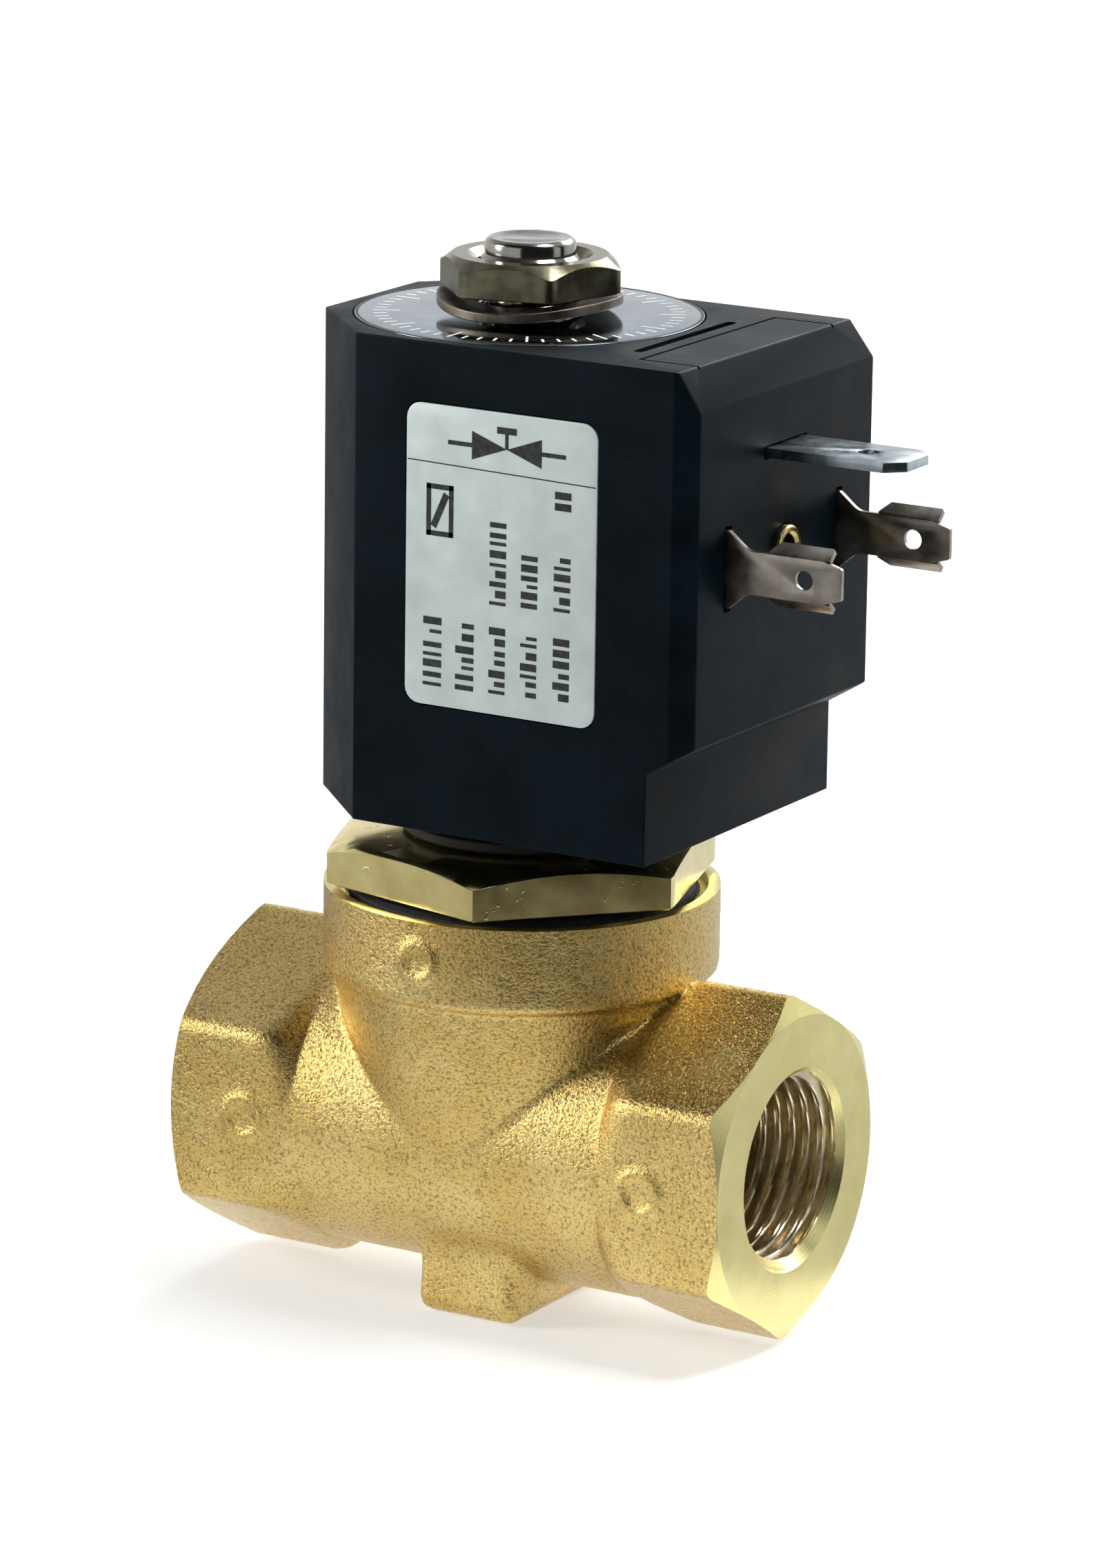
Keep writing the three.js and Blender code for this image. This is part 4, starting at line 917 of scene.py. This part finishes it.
def side_print():
    """Marks printed on the side label: a valve diagram, a coil symbol, and rows of plain dashes."""
    left, right, low, high = LABEL_LOW.x, LABEL_HIGH.x, LABEL_LOW.z, LABEL_HIGH.z
    front, back = LABEL_LOW.y - 0.02, LABEL_LOW.y + 0.02
    marks = []

    def bar(x0, x1, z0, z1):
        """An upright rectangle of ink."""
        marks.append(upright_plate([(x0, z0), (x1, z0), (x1, z1), (x0, z1)], front, back))

    def shape(outline):
        """Any outline of (x, z) points, inked."""
        marks.append(upright_plate(outline, front, back))

    # Two triangles point to point under a small square: the diagram of a valve with a coil.
    middle, level, wide, tall = (left + right) / 2 + 0.5, high - 2.9, 3.2, 1.15
    shape([(middle - wide, level - tall), (middle, level), (middle - wide, level + tall)])
    shape([(middle + wide, level - tall), (middle + wide, level + tall), (middle, level)])
    bar(middle - 0.15, middle + 0.15, level, level + 1.2)
    bar(middle - 0.9, middle + 0.9, level + 1.2, level + 1.75)
    bar(middle - wide - 2.2, middle - wide, level - 0.18, level + 0.18)
    bar(middle + wide, middle + wide + 2.2, level - 0.18, level + 0.18)
    # A rectangle with a stroke across: the diagram of a coil.
    x0, z0, wide, tall, line = left + 1.9, high - 10.6, 2.5, 4.2, 0.42
    bar(x0, x0 + wide, z0, z0 + line)
    bar(x0, x0 + wide, z0 + tall - line, z0 + tall)
    bar(x0, x0 + line, z0, z0 + tall)
    bar(x0 + wide - line, x0 + wide, z0, z0 + tall)
    shape([(x0 + 0.4, z0 + 0.9), (x0 + 0.9, z0 + 0.6), (x0 + wide - 0.4, z0 + tall - 0.9),
           (x0 + wide - 0.9, z0 + tall - 0.6)])
    # Columns of bars. Each is its distance from the left edge, its width, and (start, length) runs.
    columns = [(1.7, 1.7, [(1.6, 3.6), (5.9, 1.6)]), (4.7, 1.7, [(1.6, 5.4)]),
               (7.8, 1.5, [(1.7, 4.8), (8.9, 6.6)]), (10.7, 1.5, [(1.8, 4.8), (9.0, 4.2)]),
               (13.7, 1.5, [(1.9, 4.8), (9.1, 4.2), (17.2, 1.2)])]
    thicknesses, shortened, gaps = [0.28, 0.42, 0.6], [0.0, 0.0, 0.35], [0.3, 0.42]
    draw = np.random.default_rng(11)
    for across, wide, runs in columns:
        for start, tall in runs:
            level = low + start
            while level < low + start + tall:
                thick = draw.choice(thicknesses)
                short = draw.choice(shortened) * wide
                bar(left + across + short, left + across + wide, level, level + thick)
                level += thick + draw.choice(gaps)
    return joined(marks)


def seam_strip():
    """The edge of the film's upper strip, a thin line across the label."""
    level, inset, fall, wide = LABEL_HIGH.z - 4.7, 0.1, 0.35, 0.1
    left, right, front = LABEL_LOW.x + inset, LABEL_HIGH.x - inset, LABEL_LOW.y
    outline = [(left, level), (right, level - fall), (right, level - fall + wide), (left, level + wide)]
    return upright_plate(outline, front - 0.012, front + 0.02)


def build_labels(look):
    """The side label and the disc label, with thin solids for their printing."""
    film, ink = silvered_film(look), printed_ink(look)
    plate = upright_plate(label_outline(0), LABEL_LOW.y, LABEL_HIGH.y)
    side_plate = mesh_object("side_label_film", plate, [film])
    soften(side_plate, 0.04, 2)
    finish_piece(side_plate, "coil", ["side_label"])
    finish_piece(mesh_object("side_label_print", side_print(), [ink]), "coil", [])
    finish_piece(mesh_object("side_label_seam", seam_strip(), [ink]), "coil", [])
    top, outer, hole, raised = DISC_HIGH.z, DISC_HIGH.x, 4.6, 0.015
    mirror = polished_metal("mirror_finish_label_film", "#7d8b95", "#6b7a85", 0.1, 0.8, 0.002)
    disc = lathe(rounded_ring(hole, outer, DISC_LOW.z, top, 0.05), 160)
    finish_piece(mesh_object("disc_label_film", disc, [mirror]), "coil", ["disc_label"])
    line_in, line_out = outer - 0.32, outer - 0.08
    rim = lathe([(line_in, top - 0.02), (line_out, top - 0.02), (line_out, top + raised),
                 (line_in, top + raised)], 160)
    finish_piece(mesh_object("disc_label_rim_line", rim, [ink]), "coil", [])
    ticks = []
    scale_out, marks, half_wide = 12.6, 60, 0.1
    for k in range(marks):
        long = 2.2 if k % 5 == 0 else 1.1
        tick = box_solid((scale_out - long, -half_wide, top - 0.01), (scale_out, half_wide, top + raised))
        ticks.append(moved(tick, Matrix.Rotation(TURN * k / marks, 4, "Z")))
    finish_piece(mesh_object("disc_label_ticks", joined(ticks), [white_ink()]), "coil", [])


class VALVE_OT_labels(bpy.types.Operator):
    """Builds the side label and the disc label with their printing"""

    bl_idname = "valve.labels"
    bl_label = "Labels"

    def execute(self, context):
        build_labels(context.scene.valve_look)
        return {"FINISHED"}


# Plug tabs


def line_tab_solids(y):
    """A line tab of folded sheet: a plate with a flared root, and two edges bent back."""
    face, tip, level = COIL_HIGH.x, TAB_HIGH.x, line_tab_level()
    root, neck, sheet = 3.15, 1.72, 0.45
    tip_half, tip_start = 1.25, tip - 1.6
    upper = [(tip, tip_half, 0.2), (tip_start, neck, 0.2), (face + 1.9, neck, 1.6), (face + 0.15, root, 0.15),
             (face - 3.0, root)]
    lower = [(x, -z, *radius) for x, z, *radius in upper][::-1]
    outline = [(x, z + level) for x, z in filleted(lower + upper)]
    plate = upright_plate(outline, y - sheet / 2, y + sheet / 2)
    hole, hole_back = 0.8, 3.3
    drill = moved(cylinder(hole, -2, 2, 32), Matrix.Translation((tip - hole_back, y, level)) @ UPRIGHT)
    wings = []
    start, end, reach, lean, slant, corner = face + 3.5, tip - 1.1, 1.25, math.radians(48), 0.9, 0.15
    for sign in (-1, 1):
        wing = [(start, 0), (end, 0), (end, reach), (start + slant, reach)]
        if sign < 0:
            wing = [(x, -z) for x, z in wing][::-1]
        fold = level + sign * (neck - 0.12)
        bend = Matrix.Translation((0, y, fold)) @ Matrix.Rotation(-sign * lean, 4, "X")
        outline = filleted([(*point, corner) for point in wing])
        wings.append(moved(upright_plate(outline, -sheet / 2, sheet / 2), bend))
    return plate, drill, wings


def build_line_tabs():
    """The two upright tabs, each a plate with its folded edges and a hole."""
    nickel = polished_metal("nickel_plated_tab_brass", "#b3aca2", "#8a8178", 0.3, 0.5, 0.006)
    for side, y in (("near", -9.0), ("far", 9.0)):
        plate, drill, wings = line_tab_solids(y)
        made = mesh_object(f"line_tab_blade_{side}", plate, [nickel])
        for wing in wings:
            combine(made, wing, "UNION")
        combine(made, drill, "DIFFERENCE")
        soften(made, 0.06, 2, 40)
        finish_piece(made, "coil", [f"line_tab_{side}"])


def build_earth_tab():
    """The flat tab over the line tabs, with cut corners and a hole."""
    tin = polished_metal("tinned_earth_tab", "#c3ced2", "#9aa6ac", 0.26, 0.5, 0.008)
    root, tip, half = COIL_HIGH.x - 3.0, EARTH_HIGH.x, EARTH_HIGH.y
    chamfer, corner, hole, hole_back = 1.4, 0.2, 0.85, 4.4
    outline = [(root, -half), (tip - chamfer, -half, corner), (tip, -half + chamfer, corner),
               (tip, half - chamfer, corner), (tip - chamfer, half, corner), (root, half)]
    earth = mesh_object("earth_tab_blade", prism(filleted(outline), EARTH_LOW.z, EARTH_HIGH.z), [tin])
    drill = cylinder(hole, EARTH_LOW.z - 1, EARTH_HIGH.z + 1, 32)
    combine(earth, moved(drill, Matrix.Translation((tip - hole_back, 0, 0))), "DIFFERENCE")
    soften(earth, 0.1, 2, 40)
    finish_piece(earth, "coil", ["earth_tab"])


def build_screw_bush(look):
    """The brass bush between the line tabs, which takes the plug's screw."""
    low, high = cad_box("plug_screw_insert")
    outer, bore, edge = 2.0, 1.25, 0.25
    profile = filleted([(bore, low.x), (outer, low.x, 0.1), (outer, high.x, 0.3),
                        (bore + edge, high.x), (bore, high.x - edge)])
    bush = moved(lathe(profile, 64), Matrix.Translation((0, 0, line_tab_level())) @ TO_X)
    made = mesh_object("plug_screw_bush", bush, [drawn_brass(look)])
    finish_piece(made, "coil", ["plug_screw_insert"])


class VALVE_OT_plug_tabs(bpy.types.Operator):
    """Builds the two line tabs, the earth tab and the threaded bush between them"""

    bl_idname = "valve.plug_tabs"
    bl_label = "Plug tabs"

    def execute(self, context):
        build_line_tabs()
        build_earth_tab()
        build_screw_bush(context.scene.valve_look)
        return {"FINISHED"}


# Stud, nut, washer, springs and inner parts


def threaded_rings(minor, major, pitch, low, high, angles):
    """Rings of an outside thread that runs out at its upper end."""
    rings = []
    for level in np.linspace(low, high, int((high - low) / pitch * 12)):
        fade = np.clip((high - level) / pitch, 0, 1) * np.clip((level - low) / pitch, 0, 1)
        groove = thread_profile(level / pitch - angles / TURN) * (major - minor) * fade
        rings.append(ring_of(major - groove, level, angles))
    return rings


def build_core(steel):
    """The fixed core: its face with the shading ring's groove, its shoulder, and the M8 stud on top."""
    low, high = STUD_LOW.z, STUD_HIGH.z
    around = 96
    angles = np.arange(around) * TURN / around
    ring_high = cad_box("shading_ring")[1]
    groove_top, groove_out = ring_high.z + 0.2, ring_high.x + 0.1
    groove_in = groove_out - 1.0
    core = cad_box("plunger")[1].x
    shoulder, shoulder_top = STUD_HIGH.x, DISC_LOW.z - 0.3
    tube_top = cad_box("armature_tube")[1].z + 0.3
    stud, root, pitch, end, end_height, chamfer = 4.0, 3.4, 1.25, 3.675, 1.3, 0.4
    lower = [(0, low), (groove_in, low), (groove_in, groove_top), (groove_out, groove_top),
             (groove_out, low), (core, low), (core, tube_top), (shoulder, tube_top),
             (shoulder, shoulder_top), (stud, shoulder_top)]
    rings = [ring_of(radius, level, angles) for radius, level in lower]
    rings += threaded_rings(root, stud, pitch, shoulder_top + 0.3, high - end_height - 0.35, angles)
    upper = [(end, high - end_height), (end, high - chamfer), (end - 0.12, high - chamfer * 0.45),
             (end - chamfer, high), (end - 1.1, high), (end - 1.25, high - 0.06), (0, high - 0.1)]
    rings += [ring_of(radius, level, angles) for radius, level in upper]
    made = mesh_object("core_and_stud", skin(rings, wrap=False), [steel])
    finish_piece(made, "valve", ["fixed_core"])


def build_nut(nickel):
    """The thin top nut, coned at its upper corners, with its M8 thread."""
    flats, bore, corner_drop, turn = 13.3, 4.3, 0.75, math.radians(43.9 - 90)
    low, high = NUT_LOW.z, NUT_HIGH.z
    angles, rings = hexagon_rings(flats, low, high, corner_drop, turn, 144, 0.1)
    pitch, thread_depth, countersink = 1.25, 0.35, 0.6
    rings.append(ring_of(bore + 0.75, high, angles))
    for level in np.linspace(high - countersink, low + countersink, 24):
        groove = thread_profile(level / pitch - angles / TURN) * thread_depth
        rings.append(ring_of(bore + groove, level, angles))
    rings.append(ring_of(bore + 0.7, low, angles))
    made = mesh_object("top_nut", skin(rings, wrap=True), [nickel])
    finish_piece(made, "valve", ["coil_nut"], sharp=24)


def build_washer(steel):
    """The curved spring washer, bent about one line across."""
    washer_low, washer_high = cad_box("spring_washer")
    outer, hole, thick, rise = washer_high.x, 4.4, 0.8, 0.75
    profile = rounded_ring(hole, outer, 0, thick, 0.12)
    points, faces = lathe(profile, 128)
    points = points.copy()
    points[:, 2] += washer_low.z + rise * (points[:, 0] / outer) ** 2
    made = mesh_object("curved_washer", (points, faces), [steel])
    finish_piece(made, "valve", ["spring_washer"])


class VALVE_OT_fasteners(bpy.types.Operator):
    """Builds the core with its stud, the nut and the curved washer"""

    bl_idname = "valve.fasteners"
    bl_label = "Stud, nut and washer"

    def execute(self, context):
        build_core(polished_metal("turned_stainless_steel", "#a3a09a", "#7f7c76", 0.14, 0.6, 0.003))
        build_nut(polished_metal("satin_nickel_plate", "#85816b", "#625e4c", 0.2, 0.35, 0.006))
        build_washer(polished_metal("tempered_spring_steel", "#8a7e72", "#5c534a", 0.4, 0.3, 0.012))
        return {"FINISHED"}


def wire_helix(radius, wire, turns, low, high):
    """A round-wire compression spring with its end turns lying flat."""
    steps, sides, flat_share = turns * 48, 12, 0.06  # the share of the wire that lies flat at each end
    share = np.linspace(0, 1, steps + 1)
    eased = np.clip((share - flat_share) / (1 - 2 * flat_share), 0, 1)
    eased = eased * eased * (3 - 2 * eased)
    middle = low + wire / 2 + (high - low - wire) * eased
    rings = []
    around = np.arange(sides) * TURN / sides
    for angle, level in zip(share * turns * TURN, middle):
        out = radius - wire / 2 + wire / 2 * np.cos(around)
        rings.append(np.column_stack([out * math.cos(angle), out * math.sin(angle),
                                      level + wire / 2 * np.sin(around)]))
    return skin(rings, wrap=False)


class VALVE_OT_springs(bpy.types.Operator):
    """Builds the two return springs from round wire"""

    bl_idname = "valve.springs"
    bl_label = "Return springs"

    def execute(self, context):
        wire = polished_metal("drawn_stainless_wire", "#b9b6b0", "#8d8983", 0.22, 0.2, 0.003)
        # Both springs stay with the valve's body, as a spring can follow one joint only.
        for part, turns, travel in (("piston", 3, 2.4), ("plunger", 6, 3.4)):
            node = f"{part}_spring"
            low, high = cad_box(node)
            made = mesh_object(f"{part}_return_spring", wire_helix(high.x, 0.5, turns, low.z, high.z), [wire])
            finish_piece(made, "valve", [node])
            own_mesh(made)
        return {"FINISHED"}


class VALVE_OT_inner_parts(bpy.types.Operator):
    """Builds the gasket and gives the pieces inside their materials"""

    bl_idname = "valve.inner_parts"
    bl_label = "Gasket and inner parts"

    def execute(self, context):
        look = context.scene.valve_look
        rubber = plain_polymer("moulded_nitrile_rubber", "#1b1d1e", "#121415", 0.62)
        low, high = cad_box("coil_gasket")
        ring = lathe(rounded_ring(6.1, high.x, low.z, high.z, 0.25), 96)
        finish_piece(mesh_object("boss_gasket", ring, [rubber]), "coil", ["coil_gasket"])
        steel = polished_metal("ferritic_stainless_steel", "#bdbab2", "#96928a", 0.2)
        brass = drawn_brass(look)
        plated = polished_metal("zinc_plated_sheet_steel", "#a3a7a9", "#7d8184", 0.36, 0.6, 0.01)
        copper = polished_metal("enamelled_copper_wire", "#c47a4a", "#98532c", 0.3, 0.25, 0.03)
        finishes = {
            "armature_tube": steel, "plunger": steel, "pilot_nozzle": steel, "servo_piston": brass,
            "yoke": plated, "yoke_plate": plated, "winding": copper, "shading_ring": copper,
            "bonnet_seal": rubber, "main_seal": rubber,
            "plunger_seal": plain_polymer("moulded_fluoro_rubber", "#6a3024", "#4b2019", 0.6),
            "piston_ring": plain_polymer("sintered_ptfe", "#e6e4dc", "#cfccc2", 0.42),
            "bobbin": plain_polymer("moulded_polyester", "#d9d4c3", "#bdb7a4", 0.48),
        }
        for name, material in finishes.items():
            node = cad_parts[name]
            node.data.materials.clear()
            node.data.materials.append(material)
        return {"FINISHED"}


# Stage


def area_light(name, position, target, size, power):
    """A white softbox that faces its target. Sizes and places are in metres."""
    data = bpy.data.lights.new(name, "AREA")
    data.shape = "RECTANGLE"
    data.size, data.size_y = size
    data.energy = power
    light = bpy.data.objects.new(name, data)
    bpy.context.scene.collection.objects.link(light)
    light.location = position
    light.rotation_euler = (Vector(position) - Vector(target)).to_track_quat("Z", "Y").to_euler()


def build_camera():
    """A long lens at the front right, a little above the valve."""
    azimuth, elevation, roll = math.radians(30.637), math.radians(14.428), math.radians(0.823)
    distance, right_shift, up_shift = 0.57618, 0.002981, 0.02767
    back = Vector((math.sin(azimuth) * math.cos(elevation), -math.cos(azimuth) * math.cos(elevation),
                   math.sin(elevation)))
    right = Vector((math.cos(azimuth), math.sin(azimuth), 0))
    up = back.cross(right)
    target = Vector((0, 0, FLOW_AXIS * MM)) + right * right_shift + up * up_shift
    rolled_right = right * math.cos(roll) + up * math.sin(roll)
    rolled_up = up * math.cos(roll) - right * math.sin(roll)
    data = bpy.data.cameras.new("camera")
    data.sensor_width = 36.0
    data.sensor_fit = "AUTO"
    data.lens = 159.8
    data.clip_start, data.clip_end = 0.01, 50
    camera = bpy.data.objects.new("camera", data)
    bpy.context.scene.collection.objects.link(camera)
    turn = Matrix((rolled_right, rolled_up, back)).transposed().to_4x4()
    camera.matrix_world = Matrix.Translation(target + back * distance) @ turn
    bpy.context.scene.camera = camera


def build_floor():
    """A wide pale floor with a faint mottle."""
    material, tree, shader, place = new_material("pale_painted_floor", Roughness=0.7, IOR=1.45,
                                                 Emission_Color=linear("#ffffff"), Emission_Strength=0.5)
    mottle = noise_of(tree, place, 60.0)
    tree.links.new(mixed(tree, spread(tree, mottle, 0.3, 0.7), linear("#c6c6c5"), linear("#cbcbca")),
                   shader.inputs["Base Color"])
    half, thick = 3000, 20
    floor = mesh_object("floor", box_solid((-half, -half, -thick), (half, half, 0)), [material])


def reflected_card(name, solid, dark, light):
    """A card that only reflections see. It lights and shades nothing."""
    material, tree, shader, place = new_material(name + "_paper", Roughness=0.9)
    mottle = noise_of(tree, place, 3.0)
    tree.links.new(mixed(tree, mottle, linear(dark), linear(light)), shader.inputs["Base Color"])
    card = mesh_object(name, solid, [material])
    card.visible_camera = False
    card.visible_diffuse = False
    card.visible_shadow = False


def build_cards():
    """A grey and pale ring on the floor and black cards at the right, which give the metals dark sides."""
    thick, steps = 1.5, 72

    def sector(near, far, first, last, low, high):
        """Part of a ring about Z, between two angles in degrees."""
        bends = [math.radians(first + (last - first) * k / steps) for k in range(steps + 1)]
        arcs = [[(reach * math.cos(a), reach * math.sin(a)) for a in bends] for reach in (far, near)]
        return prism(arcs[0] + arcs[1][::-1], low, high)

    wide, low, high, wall_low = 700, 0.5, 1.0, 1.2
    grey = joined([sector(46, wide, first, first + 118, low, high) for first in (-105, 135)])
    reflected_card("grey_card", grey, "#828384", "#8e8e8d")
    reflected_card("pale_card", sector(36, wide, 15, 133, low, high), "#a8a9aa", "#b2b3b4")
    near, far, tall = 130, 170, 230
    walls = [sector(far - thick, far, first, last, wall_low, tall) for first, last in ((-84, 2), (21, 34))]
    foot = sector(near, far - 2 * thick, -105, 34, wall_low, wall_low + thick)
    reflected_card("black_card", joined(walls + [foot]), "#050505", "#0c0c0c")


def build_world():
    """Soft studio light from all round, dimmer overhead and dark above the front."""
    world = bpy.data.worlds.new("studio")
    bpy.context.scene.world = world
    world.use_nodes = True
    tree = world.node_tree
    background = next(n for n in tree.nodes if n.type == "BACKGROUND")
    direction = add_node(tree, "ShaderNodeTexCoord").outputs["Generated"]
    parts = add_node(tree, "ShaderNodeSeparateXYZ", {"Vector": direction}).outputs
    overhead = mixed(tree, spread(tree, parts["Y"], -0.35, 0.15), linear("#26272a"), linear("#c4c6ca"))
    shade = mixed(tree, spread(tree, parts["Z"], 0.25, 0.6), linear("#f6f7f8"), overhead)
    tree.links.new(shade, background.inputs["Color"])
    background.inputs["Strength"].default_value = 1.0


class VALVE_OT_stage(bpy.types.Operator):
    """Builds the floor, the lights and the camera"""

    bl_idname = "valve.stage"
    bl_label = "Stage"

    def execute(self, context):
        scene = context.scene
        scene.view_settings.view_transform = "Standard"
        build_floor()
        build_world()
        middle = (0, 0, 0.04)
        area_light("key_softbox", (-0.55, -0.35, 0.3), middle, (0.2, 0.3), 2.5)
        area_light("back_softbox", (0.1, 0.8, 0.55), middle, (0.8, 0.4), 7)
        area_light("top_softbox", (0.35, 0.1, 0.9), middle, (0.3, 0.3), 7)
        build_cards()
        build_camera()
        return {"FINISHED"}


# Sidebar and running

OPERATORS = (VALVE_OT_stage, VALVE_OT_forged_body, VALVE_OT_bonnet, VALVE_OT_coil_case, VALVE_OT_labels,
             VALVE_OT_plug_tabs, VALVE_OT_fasteners, VALVE_OT_springs, VALVE_OT_inner_parts)


class VALVE_PT_sidebar(bpy.types.Panel):
    """Lists the valve's settings and one button for each group of pieces"""

    bl_idname = "VALVE_PT_sidebar"
    bl_label = "Solenoid valve"
    bl_space_type = "VIEW_3D"
    bl_region_type = "UI"
    bl_category = "Valve"

    def draw(self, context):
        for settings in (context.scene.valve_forging, context.scene.valve_look):
            box = self.layout.box()
            for name in settings.__annotations__:
                box.prop(settings, name)
        column = self.layout.column()
        for operator in OPERATORS:
            column.operator(operator.bl_idname)


CLASSES = (ForgingSettings, LookSettings, *OPERATORS, VALVE_PT_sidebar)


def register():
    """Adds the classes, and the settings to the scene."""
    for each in CLASSES:
        bpy.utils.register_class(each)
    bpy.types.Scene.valve_forging = PointerProperty(type=ForgingSettings)
    bpy.types.Scene.valve_look = PointerProperty(type=LookSettings)


def unregister():
    """Takes the settings and the classes away again."""
    del bpy.types.Scene.valve_look
    del bpy.types.Scene.valve_forging
    for each in reversed(CLASSES):
        bpy.utils.unregister_class(each)


def main():
    """Builds every group of pieces on the stage."""
    register()
    bpy.ops.valve.stage()
    bpy.ops.valve.forged_body()
    bpy.ops.valve.bonnet()
    bpy.ops.valve.coil_case()
    bpy.ops.valve.labels()
    bpy.ops.valve.plug_tabs()
    bpy.ops.valve.fasteners()
    bpy.ops.valve.springs()
    bpy.ops.valve.inner_parts()


if __name__ == "__main__":
    main()
